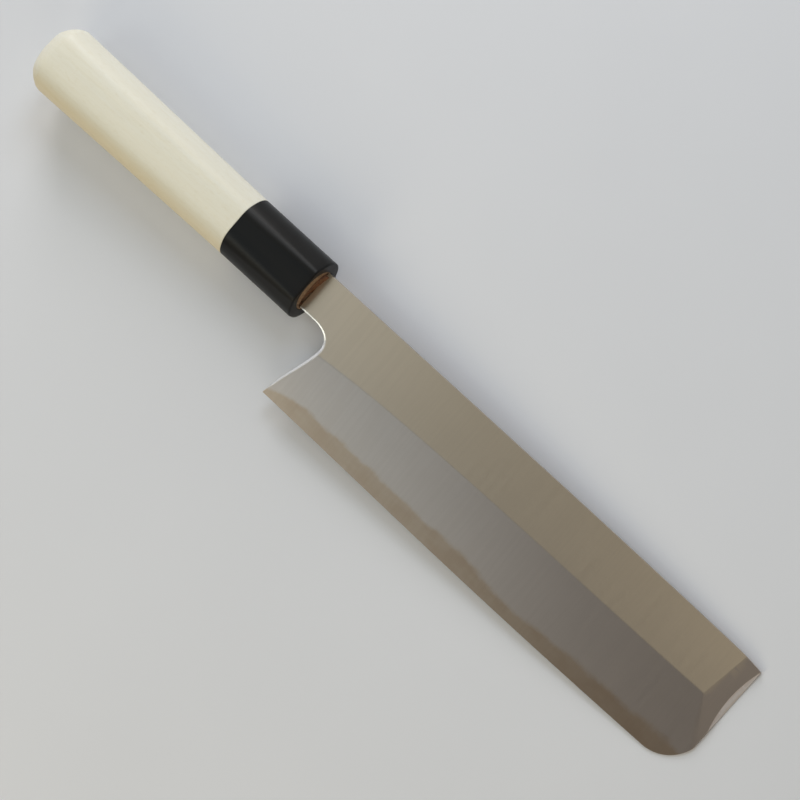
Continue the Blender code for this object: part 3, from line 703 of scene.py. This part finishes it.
def corner_path():
    """The rounded corner between the edge and the end."""
    start = np.array([CORNER_X, edge_y(CORNER_X)])
    finish = start + (CORNER_LENGTH, CORNER_HEIGHT)
    reach = CORNER_LENGTH * CORNER_FULLNESS
    rise = edge_y(CORNER_X + reach) - edge_y(CORNER_X)
    lean = np.array([math.sin(CORNER_LEAN), math.cos(CORNER_LEAN)])
    return bezier([start, start + (reach, rise), finish - lean * (CORNER_HEIGHT * CORNER_FULLNESS), finish])


def edge_path():
    """The cutting edge, between the heel and the rounded corner."""
    x = np.linspace(HEEL_X, CORNER_X, EDGE_STATIONS)[1:-1]
    return np.stack([x, edge_y(x)], 1)


def end_path():
    """The straight end, from the rounded corner up to the spine."""
    y = np.linspace(corner_path()[-1, 1], spine_y(END_X), PATH_STEPS + 1)[1:]
    return np.stack([np.full(len(y), END_X), y], 1)


def spine_path():
    """The spine, from the end of the blade back to the shoulder."""
    x = np.concatenate(
        [
            np.linspace(END_X, END_X - SPINE_END_DROP_LENGTH, SPINE_END_STATIONS),
            np.linspace(END_X - SPINE_END_DROP_LENGTH, SHOULDER_X, EDGE_STATIONS)[1:],
        ]
    )
    return np.stack([x, spine_y(x)], 1)


def low_outline_y(x):
    """Lowest point of the outline at x, on the edge or on the rounded corner."""
    corner = corner_path()
    return np.where(x <= CORNER_X, edge_y(x), np.interp(x, corner[:, 0], corner[:, 1]))


# Blade surfaces


def face_z(x, y):
    """Height of the flat upper face: it thins towards the end, and a little towards the spine."""
    along = (x - SHOULDER_X) / (END_X - SHOULDER_X)
    across = (y + RIDGE_DEPTH) / (NECK_TOP + RIDGE_DEPTH)
    return BACK_Z + NECK_THICKNESS - (NECK_THICKNESS - TIP_THICKNESS) * along - SPINE_THINNING * across


def ridge_y(x):
    """Place of the ridge where the flat face turns down into the bevel."""
    drop = RIDGE_DROP_AT_HEEL * np.exp((HEEL_X - x) / RIDGE_DROP_LENGTH)
    rise = RIDGE_RISE_AT_END * np.exp((x - END_X) / RIDGE_RISE_LENGTH)
    return -RIDGE_DEPTH - drop + rise


def bevel_slope(x):
    """Rise of the bevel for each unit from the edge towards the ridge."""
    rise = face_z(x, ridge_y(x)) - BACK_Z - EDGE_THICKNESS
    return rise / (ridge_y(x) - edge_y(x))


def bevel_z(x, y):
    """Height of the ground bevel."""
    return BACK_Z + EDGE_THICKNESS + bevel_slope(x) * (y - edge_y(x))


def end_bevel_z(x, y):
    """Height of the bevel across the end."""
    x_ridge = END_X - END_BEVEL_AT_RIDGE
    x_spine = END_X - END_BEVEL_AT_SPINE
    y_ridge = ridge_y(x_ridge)
    ridge = np.array([x_ridge, y_ridge, face_z(x_ridge, y_ridge)])
    rim = np.array([END_X, y_ridge, BACK_Z + END_RIM_THICKNESS])
    spine = np.array([x_spine, spine_y(x_spine), face_z(x_spine, spine_y(x_spine))])
    normal = np.cross(rim - ridge, spine - ridge)
    return ridge[2] - (normal[0] * (x - ridge[0]) + normal[1] * (y - ridge[1])) / normal[2]


def facet_z(x, y):
    """Height of the crescent facet that a wheel leaves on the rim of the end."""
    radius = END_FACET_SPAN**2 / (8 * END_FACET_DROP)
    bevel_rise = (face_z(END_X, -RIDGE_DEPTH) - BACK_Z - END_RIM_THICKNESS) / END_BEVEL_AT_RIDGE
    slope = math.atan(bevel_rise + END_FACET_DROP / END_FACET_DEPTH)
    low_z = BACK_Z + END_RIM_THICKNESS - END_FACET_DROP
    middle_y = spine_y(END_X) - END_FACET_SPAN / 2
    sag = radius - np.sqrt(np.maximum(radius**2 - (y - middle_y) ** 2, 0.0))
    return low_z - (x - END_X) * math.tan(slope) + sag / math.cos(slope)


def soft_min(first, second, softness):
    """The lower of two heights, with the crease between them rounded."""
    near = np.maximum(softness - np.abs(first - second), 0.0)
    return np.minimum(first, second) - near * near / (4 * softness)


def ridge_softness(x):
    """How far the ridge is rounded: it is crisp along the blade and soft near the heel."""
    along = np.maximum(x - HEEL_X, 0.0)
    return RIDGE_SOFTNESS + RIDGE_SOFTNESS_AT_HEEL * np.exp(-along / RIDGE_SOFTNESS_LENGTH)


def end_softness(x, y):
    """How far the end bevel's crease is rounded: crisp against the flat face, soft against the main bevel."""
    return END_SOFTNESS + END_SOFTNESS_BELOW * np.clip((ridge_y(x) - y) / END_SOFTNESS_SPAN, 0, 1)


def ground_z(x, y):
    """Height of the upper surface, with all its ground faces."""
    z = soft_min(face_z(x, y), bevel_z(x, y), ridge_softness(x))
    z = soft_min(z, end_bevel_z(x, y), end_softness(x, y))
    return soft_min(z, facet_z(x, y), FACET_SOFTNESS)


def hollow_sides(x):
    """The two sides of the hollow at x, towards the edge and towards the spine."""
    return low_outline_y(x) + HOLLOW_RIM, spine_y(x) - HOLLOW_RIM


def hollow_z(x, y):
    """Height of the back, with its shallow hollow."""
    run_out = np.clip(np.minimum(x - HOLLOW_FROM, HOLLOW_TO - x) / HOLLOW_RUN_OUT, 0, 1)
    low, high = hollow_sides(x)
    share = (2 * y - low - high) / (high - low)
    return BACK_Z + HOLLOW_DEPTH * np.sin(np.pi / 2 * run_out) * np.maximum(0.0, 1 - share**2)


def steel_band(x):
    """Width of the steel that the bevel lays bare along the edge."""
    along = x - HEEL_X
    growth = np.exp(-((along / STEEL_BAND_GROWTH) ** 2))
    dip = np.exp(-(((along - STEEL_DIP_PLACE) / STEEL_DIP_LENGTH) ** 2))
    turns = 2 * np.pi * along / STEEL_WAVE_LENGTH
    wave = np.sin(turns) + STEEL_RIPPLE_SHARE * np.sin(STEEL_RIPPLE_RATE * turns)
    narrowing = (STEEL_BAND - STEEL_BAND_AT_HEEL) * growth + STEEL_DIP * dip
    return STEEL_BAND - narrowing + STEEL_WAVE * wave * (1 - growth)


def weld_z(x):
    """Height of the weld. It runs out in a scarf under the neck."""
    on_edge = np.maximum(x, HEEL_X)
    full = EDGE_THICKNESS + bevel_slope(on_edge) * steel_band(on_edge)
    return BACK_Z + full * np.minimum(1.0, 1 - (HEEL_X - x) / STEEL_SCARF)


# Rounded rim


def choil_polish(path):
    """Width of the polished rim: it grows from the neck round the choil and narrows again to the heel."""
    down = (NECK_BOTTOM - path[:, 1]) / (NECK_BOTTOM + HEEL_DEPTH)
    full = CHOIL_HEIGHT / (NECK_BOTTOM + HEEL_DEPTH)
    return np.interp(down, [0, full, 1], [NECK_POLISH, CHOIL_POLISH, HEEL_POLISH])


def path_normals(path):
    """Unit vectors that point out of the blade along a path."""
    along = np.gradient(path, axis=0)
    outward = np.stack([along[:, 1], -along[:, 0]], 1)
    return outward / np.linalg.norm(outward, axis=1, keepdims=True)


def limited(path, widths):
    """Rounding widths held within the blade's thickness."""
    thickness = ground_z(path[:, 0], path[:, 1]) - BACK_Z
    return np.minimum(widths, EASE_SHARE * np.maximum(thickness, EDGE_THICKNESS))


def rim(upper):
    """The path from the shoulder to the heel whose corner is rounded, with widths and outward directions."""
    path = choil_path()
    widths = choil_polish(path) if upper else np.full(len(path), CORNER_EASE)
    return path, limited(path, widths), path_normals(path)


def rounding(points, upper):
    """For each point: how far the rim lowers it and turns its normal, which way, and how much of the polished
    rim's pale painted highlight colour it takes.
    """
    path, widths, normals = rim(upper)
    step = path[1:] - path[:-1]
    offset = points[:, None, :] - path[None, :-1, :]
    share = np.clip((offset * step).sum(2) / (step * step).sum(1), 0, 1)
    distance = np.linalg.norm(offset - share[..., None] * step, axis=2)
    closest = distance.argmin(1)
    rows = np.arange(len(points))
    share = share[rows, closest]
    width = widths[closest] * (1 - share) + widths[closest + 1] * share
    outward = normals[closest] * (1 - share)[:, None] + normals[closest + 1] * share[:, None]
    lean = np.clip(1 - distance[rows, closest] / width, 0, 1)
    fallen = np.where(lean < POLISH_BLEND, lean**2 / (2 * POLISH_BLEND), lean - POLISH_BLEND / 2)
    tilt = np.minimum(lean / POLISH_BLEND, 1) * POLISH_SLOPE
    last = np.clip((lean - RIM_TURN_START) / (1 - RIM_TURN_START), 0, 1)
    tilt = tilt + last * (math.pi / 2 - POLISH_SLOPE)
    drop = width * math.tan(POLISH_SLOPE) * fallen
    return drop, np.sin(tilt), outward, np.minimum(1, lean / POLISH_HIGHLIGHT_FULL_AT)


def shaped(points, height, upper):
    """Heights, normals and painted highlight share of a blade surface with its rim rounded; the share lifts
    the polished rim's colour.
    """
    x, y = points[:, 0], points[:, 1]
    slope_x = (height(x + NORMAL_STEP, y) - height(x - NORMAL_STEP, y)) / (2 * NORMAL_STEP)
    slope_y = (height(x, y + NORMAL_STEP) - height(x, y - NORMAL_STEP)) / (2 * NORMAL_STEP)
    normals = np.stack([-slope_x, -slope_y, np.ones(len(x))], 1)
    normals *= 1 if upper else -1
    normals /= np.linalg.norm(normals, axis=1, keepdims=True)
    drop, turn, outward, polish_and_highlight = rounding(points, upper)
    normals *= np.sqrt(1 - turn**2)[:, None]
    normals[:, :2] += outward * turn[:, None]
    normals /= np.linalg.norm(normals, axis=1, keepdims=True)
    z = height(x, y) - drop if upper else height(x, y) + drop
    return z, normals, polish_and_highlight


# Blade meshes


def solve_x(function, y, reach):
    """Where, near the end, a function of (x, y) that rises with x passes zero, for each y."""
    low = np.full(len(y), END_X - reach)
    high = np.full(len(y), END_X + reach)
    for _ in range(HALVINGS):
        middle = (low + high) / 2
        above = function(middle, y) > 0
        high = np.where(above, middle, high)
        low = np.where(above, low, middle)
    return (low + high) / 2


def above_end_bevel(x, y):
    """How far the main faces rise above the end bevel."""
    return np.minimum(face_z(x, y), bevel_z(x, y)) - end_bevel_z(x, y)


def crease_lines():
    """Lines that the mesh follows: both sides and the middle of each crease, the weld and the rounded rim."""
    lines = []
    x = np.linspace(HEEL_X - LINE_OVERRUN, END_X, RIDGE_STATIONS)
    reach = ridge_softness(x) / bevel_slope(x)
    for side in CREASE_SIDES:
        lines.append(np.stack([x, ridge_y(x) + side * reach], 1))
    x = np.linspace(HEEL_X - LINE_OVERRUN, END_X + LINE_END_OVERRUN, WELD_STATIONS)
    lines.append(np.stack([x, edge_y(x) + steel_band(x)], 1))
    y = np.linspace(-HEEL_DEPTH - LINE_OVERRUN, NECK_TOP + LINE_END_OVERRUN, END_STATIONS)
    slope = (TIP_THICKNESS - END_RIM_THICKNESS) / END_BEVEL_AT_RIDGE
    crease = solve_x(above_end_bevel, y, CREASE_SEARCH)
    for side in CREASE_SIDES:
        lines.append(np.stack([crease + side * end_softness(crease, y) / slope, y], 1))
    crease = solve_x(lambda a, b: end_bevel_z(a, b) - facet_z(a, b), y, FACET_SEARCH)
    for side in FACET_SIDES:
        lines.append(np.stack([crease + side * FACET_SOFTNESS / FACET_STEEPNESS, y], 1))
    weld = solve_x(lambda a, b: weld_z(a) - facet_z(a, b), y, FACET_SEARCH)
    lines.append(np.stack([weld, y], 1))
    path, widths, normals = rim(True)
    for share in RIM_SHARES:
        lines.append(path - normals * (widths * share)[:, None])
    return lines


def hollow_lines():
    """Lines round the rim of the hollow in the back."""
    x = np.linspace(HOLLOW_FROM, HOLLOW_TO, HOLLOW_STATIONS)
    low, high = (np.stack([x, y], 1) for y in hollow_sides(x))
    return [low, high, np.array([low[0], high[0]]), np.array([low[-1], high[-1]])]


def inside(points, outline):
    """Which points lie inside a closed outline."""
    within = np.zeros(len(points), dtype=bool)
    x, y = points[:, 0], points[:, 1]
    for (ax, ay), (bx, by) in zip(outline, np.roll(outline, -1, axis=0)):
        crosses = (ay > y) != (by > y)
        if ay != by:
            within ^= crosses & (x < ax + (bx - ax) * (y - ay) / (by - ay))
    return within


def blade_plan(lines):
    """The blade's plan, cut into triangles that follow its outline and the given lines."""
    outline = np.concatenate([choil_path()[:-1], edge_and_corner(), end_path(), spine_path()[1:]])
    points = [Vector(point * MM) for point in outline]
    edges = [(k, (k + 1) % len(outline)) for k in range(len(outline))]
    for line in lines:
        first = len(points)
        points.extend(Vector(point * MM) for point in line)
        edges.extend((first + k, first + k + 1) for k in range(len(line) - 1))
    for x in np.arange(SHOULDER_X + GRID_STEP / 2, END_X, GRID_STEP):
        for y in np.arange(-HEEL_DEPTH, NECK_TOP, GRID_STEP):
            points.append(Vector((x * MM, y * MM)))
    made = delaunay_2d_cdt(points, edges, [], 0, PLAN_TOLERANCE)
    plan = np.array([tuple(point) for point in made[0]]) / MM
    triangles = np.array([face for face in made[2] if len(face) == 3])
    middles = plan[triangles].mean(axis=1)
    return plan, triangles[inside(middles, outline)]


def edge_and_corner():
    """The heel, the cutting edge and the rounded corner."""
    heel = np.array([[HEEL_X, -HEEL_DEPTH]])
    return np.concatenate([heel, edge_path(), corner_path()])


def wall_normals(plan, border):
    """For each border edge, the outward directions at its two ends, shared where the border turns gently."""
    step = plan[border[:, 1]] - plan[border[:, 0]]
    outward = np.stack([step[:, 1], -step[:, 0]], 1)
    outward /= np.maximum(np.linalg.norm(outward, axis=1, keepdims=True), SHORTEST_EDGE)
    before = {end: k for k, end in enumerate(border[:, 1])}
    after = {start: k for k, start in enumerate(border[:, 0])}
    ends = np.zeros((len(border), 2, 2))
    for k, (start, end) in enumerate(border):
        for place, other in ((0, before.get(start, k)), (1, after.get(end, k))):
            both = outward[k] + outward[other] if outward[k] @ outward[other] > SMOOTH_TURN else outward[k]
            ends[k, place] = both / np.linalg.norm(both)
    return ends


def slab(name, plan, triangles, top, bottom, numbers):
    """A closed mesh between a top and a bottom surface, each given as heights and normals.

    numbers holds, for each attribute, its values on the top and on the bottom.
    """
    used, triangles = np.unique(triangles, return_inverse=True)
    triangles = triangles.reshape(-1, 3)
    corners = plan[used][triangles]
    first, second = corners[:, 1] - corners[:, 0], corners[:, 2] - corners[:, 0]
    turned = first[:, 0] * second[:, 1] - first[:, 1] * second[:, 0] < 0
    triangles[turned] = triangles[turned][:, ::-1]
    plan = plan[used]
    top_z, top_normals = top[0][used], top[1][used]
    bottom_z, bottom_normals = bottom[0][used], bottom[1][used]
    count = len(plan)
    sides = {}
    for a, b, c in triangles:
        for side in ((a, b), (b, c), (c, a)):
            sides[side] = True
    border = np.array([side for side in sides if (side[1], side[0]) not in sides])
    ends = wall_normals(plan, border)
    vertices = np.concatenate([np.column_stack([plan, top_z]), np.column_stack([plan, bottom_z])])
    faces = [tuple(face) for face in triangles]
    faces += [tuple(face[::-1] + count) for face in triangles]
    faces += [(a + count, b + count, b, a) for a, b in border]
    normals = np.concatenate(
        [
            top_normals[triangles].reshape(-1, 3),
            bottom_normals[triangles[:, ::-1]].reshape(-1, 3),
            np.concatenate([ends[:, [0, 1, 1, 0]], np.zeros((len(border), 4, 1))], axis=2).reshape(-1, 3),
        ]
    )
    mesh = bpy.data.meshes.new(name)
    mesh.from_pydata(vertices.tolist(), [], faces)
    mesh.shade_smooth()
    mesh.normals_split_custom_set(normals.tolist())
    for key, (upper, lower) in numbers.items():
        layer = mesh.attributes.new(key, "FLOAT", "POINT")
        layer.data.foreach_set("value", np.concatenate([upper[used], lower[used]]).astype(np.float32))
    return mesh


def faded(height, width):
    """A share that grows from 0 to 1 while the height grows from 0 to the width."""
    return np.clip(height / width, 0, 1)


def blade_meshes():
    """The iron above the weld and the steel below it."""
    plan, triangles = blade_plan(crease_lines() + hollow_lines())
    x, y = plan[:, 0], plan[:, 1]
    weld = weld_z(x)
    above = (ground_z(x, y) - weld) * MM
    far_below = np.full(len(plan), FAR_BELOW_WELD)
    top_z, top_normals, top_polish_and_highlight = shaped(plan, ground_z, True)
    back_z, back_normals, back_polish_and_highlight = shaped(plan, hollow_z, False)
    facet = faded(end_bevel_z(x, y) - facet_z(x, y), FACET_FADE)
    # Painted highlight share on the polished rim and, in part, on the crescent facet
    polish_and_highlight = (np.maximum(top_polish_and_highlight, FACET_POLISH_HIGHLIGHT * facet), back_polish_and_highlight)
    main_bevel = np.clip(0.5 + (ridge_y(x) - y) / BEVEL_FADE, 0, 1)
    end_bevel = faded(face_z(x, y) - end_bevel_z(x, y), FACET_FADE)
    bevel = (np.maximum(main_bevel, end_bevel), np.zeros(len(plan)))
    flat = np.tile((0.0, 0.0, 1.0), (len(plan), 1))
    middles = plan[triangles].mean(axis=1)
    in_iron = ground_z(middles[:, 0], middles[:, 1]) > weld_z(middles[:, 0])
    in_steel = middles[:, 0] > HEEL_X - STEEL_SCARF
    iron_bottom = np.minimum(np.maximum(back_z, weld + WELD_GAP), top_z - WELD_GAP)
    bare = back_z >= weld + WELD_GAP
    iron = slab(
        "iron_body",
        plan,
        triangles[in_iron],
        (top_z, top_normals),
        (iron_bottom, np.where(bare[:, None], back_normals, -flat)),
        {"above_weld": (above, above), "polish_and_highlight": polish_and_highlight, "bevel": bevel},
    )
    steel_top = np.maximum(np.minimum(top_z, weld), back_z + WELD_GAP)
    covered = top_z > weld + WELD_GAP
    steel = slab(
        "steel_layer",
        plan,
        triangles[in_steel],
        (steel_top, np.where(covered[:, None], flat, top_normals)),
        (back_z, back_normals),
        {"above_weld": (np.minimum(above, 0), far_below), "polish_and_highlight": polish_and_highlight},
    )
    return iron, steel


# Materials


def wood_material():
    """Pale magnolia: fine long grain, faint bands and small pores, with a golden painted shade towards the
    edge side (-Y).
    """
    s = Shader("magnolia_wood")
    fibres = s.noise(*WOOD_FIBRES)
    bands = s.noise(*WOOD_BANDS)
    pores = s.noise(*WOOD_PORES)
    # Painted shade: darker and more golden towards the edge side
    painted_shade = s.span(s.axis("Y"), PAINTED_SHADE_SIDE, PAINTED_SHADE_START, 1.0, 0.0)
    colour = s.ramp(bands, [(0.3, WOOD_WARM), (0.55, WOOD), (0.75, WOOD_WARM)])
    colour = s.mix(s.span(fibres, 0.35, 0.75, 0.0, FIBRE_SHARE), colour, WOOD_DARK)
    colour = s.mix(s.span(pores, 0.5, 0.75, 0.0, PORE_SHARE), colour, WOOD_DARK)
    return s.finish(
        Base_Color=s.mix(painted_shade, colour, WOOD_PAINTED_SHADE, "MULTIPLY"),
        Roughness=s.span(pores, 0.3, 0.7, *WOOD_ROUGHNESS),
        Specular_IOR_Level=WOOD_SPECULAR,
        Normal=s.bump(fibres, *WOOD_BUMP),
    )


def horn_material():
    """Black horn with faint streaks and a soft shine."""
    s = Shader("black_horn")
    streaks = s.noise(*HORN_STREAKS)
    return s.finish(
        Base_Color=s.ramp(streaks, [(0.35, HORN), (0.7, HORN_STREAK)]),
        Roughness=s.span(streaks, 0.3, 0.7, *HORN_ROUGHNESS),
        Specular_IOR_Level=HORN_SPECULAR,
    )


def brown_material(name, light, dark, rough):
    """Brown resin or end grain."""
    s = Shader(name)
    spots = s.noise(*BROWN_SPOTS)
    return s.finish(Base_Color=s.mix(s.span(spots, 0.35, 0.65), light, dark), Roughness=rough)


def blend_metals(s, colour, other, share_at_weld):
    """Blend a metal's colour into the other's near the weld, whose line it makes uneven."""
    patches = s.math("MULTIPLY", s.noise(*WELD_PATCHES), WELD_PATCH_SHIFT)
    waves = s.math("MULTIPLY", s.noise(*WELD_WAVES), WELD_WAVE_SHIFT)
    mean_shift = (WELD_PATCH_SHIFT + WELD_WAVE_SHIFT) / 2
    shift = s.math("SUBTRACT", s.math("ADD", patches, waves), mean_shift)
    above = s.math("ADD", s.attribute("above_weld"), shift)
    return s.mix(s.span(above, -WELD_BLEND, WELD_BLEND, *share_at_weld), colour, other)


def metal_finish(s, colour):
    """Finish a satin metal: the polished rim lifted towards pale grey as a painted highlight, faint grinding
    lines across the blade and a slight waviness.
    """
    # Painted highlight: the polished rim and crescent facet are lifted towards a pale grey
    colour = s.mix(s.attribute("polish_and_highlight"), colour, RIM_HIGHLIGHT)
    grind = s.noise(*GRIND_LINES)
    waves = s.noise(*METAL_WAVES)
    return s.finish(
        Base_Color=s.mix(s.span(grind, 0.35, 0.65, 0.0, GRIND_SHARE), colour, BLACK),
        Metallic=1.0,
        Roughness=s.span(grind, 0.3, 0.7, *METAL_ROUGHNESS),
        Normal=s.bump(waves, *METAL_BUMP),
    )


def iron_material():
    """Soft iron: a warm satin face and a cooler haze on the bevels."""
    s = Shader("soft_iron")
    haze = s.span(s.noise(*IRON_HAZE), 0.3, 0.7)
    face = s.mix(haze, IRON, IRON_DARK)
    hazy = s.mix(haze, BEVEL, BEVEL_DARK)
    colour = s.mix(s.attribute("bevel"), face, hazy)
    return metal_finish(s, blend_metals(s, colour, STEEL, (1.0, 0.0)))


def steel_material():
    """Hard steel: browner than the iron, with faint patches."""
    s = Shader("hard_steel")
    haze = s.span(s.noise(*STEEL_HAZE), 0.35, 0.65)
    colour = s.mix(haze, STEEL, STEEL_DARK)
    return metal_finish(s, blend_metals(s, colour, BEVEL, (0.0, 1.0)))


dowel_material = brown_material("dowel_wood", DOWEL, DOWEL_DARK, DOWEL_ROUGHNESS)
resin_material = brown_material("resin", RESIN, RESIN_DARK, RESIN_ROUGHNESS)
place_piece("handle", wood_mesh(), wood_material(), "handle_wood")
place_piece("ferrule", ferrule_mesh(), horn_material(), "horn_ferrule")
place_piece("dowel", dowel_mesh(), dowel_material, "core_dowel")
place_piece("seal", seal_mesh(), resin_material, "tang_seal")
iron_mesh, steel_mesh = blade_meshes()
iron = iron_material()
place_piece("iron", iron_mesh, iron, "blade_iron")
place_piece("tang", tang_mesh(), iron, "blade_iron")
place_piece("steel", steel_mesh, steel_material(), "blade_steel")


# Floor, light and camera


def make_floor():
    """Wide pale floor with a very faint mottle."""
    s = Shader("pale_floor")
    mottle = s.span(s.noise(*FLOOR_MOTTLE), 0.3, 0.7)
    s.finish(Base_Color=s.mix(mottle, FLOOR, FLOOR_DARK), Roughness=FLOOR_ROUGHNESS)
    bpy.ops.mesh.primitive_plane_add(size=FLOOR_SIZE, location=(0, 0, 0))
    floor = bpy.context.object
    floor.name = "floor"
    floor.data.materials.append(s.material)


def area_lamp(name, azimuth, elevation, distance, size, power, colour):
    """A soft square lamp that looks at the knife, placed by its angles in the knife's frame."""
    data = bpy.data.lights.new(name, "AREA")
    data.size = size
    data.energy = power
    data.color = colour
    lamp = bpy.data.objects.new(name, data)
    bpy.context.scene.collection.objects.link(lamp)
    round_knife = Matrix.Rotation(math.radians(azimuth), 4, "Z")
    down = Matrix.Rotation(math.radians(90 - elevation), 4, "Y")
    place = Matrix.Translation(LAMP_TARGET) @ round_knife @ down @ Matrix.Translation((0, 0, distance))
    lamp.matrix_world = KNIFE @ place


def make_world():
    """Even pale surroundings."""
    world = bpy.data.worlds.new("studio")
    bpy.context.scene.world = world
    world.use_nodes = True
    background = world.node_tree.nodes["Background"]
    background.inputs["Color"].default_value = (*WORLD_COLOUR, 1.0)
    background.inputs["Strength"].default_value = WORLD_STRENGTH


def make_camera():
    """The photograph's view."""
    away = Vector(
        (
            math.cos(CAMERA_ELEVATION) * math.cos(CAMERA_AZIMUTH),
            math.cos(CAMERA_ELEVATION) * math.sin(CAMERA_AZIMUTH),
            math.sin(CAMERA_ELEVATION),
        )
    )
    right = Vector((0, 0, 1)).cross(away).normalized()
    up = away.cross(right)
    rolled_right = math.cos(CAMERA_ROLL) * right + math.sin(CAMERA_ROLL) * up
    rolled_up = -math.sin(CAMERA_ROLL) * right + math.cos(CAMERA_ROLL) * up
    place = Matrix((rolled_right, rolled_up, away)).transposed().to_4x4()
    place.translation = CAMERA_TARGET + away * CAMERA_DISTANCE
    data = bpy.data.cameras.new("camera")
    data.sensor_width = SENSOR
    data.lens = SENSOR * FOCAL_PIXELS / IMAGE_PIXELS
    camera = bpy.data.objects.new("camera", data)
    bpy.context.scene.collection.objects.link(camera)
    camera.matrix_world = KNIFE @ place
    bpy.context.scene.camera = camera


make_floor()
make_world()
for lamp_values in LAMPS:
    area_lamp(*lamp_values)
make_camera()
bpy.context.scene.view_settings.view_transform = "Standard"
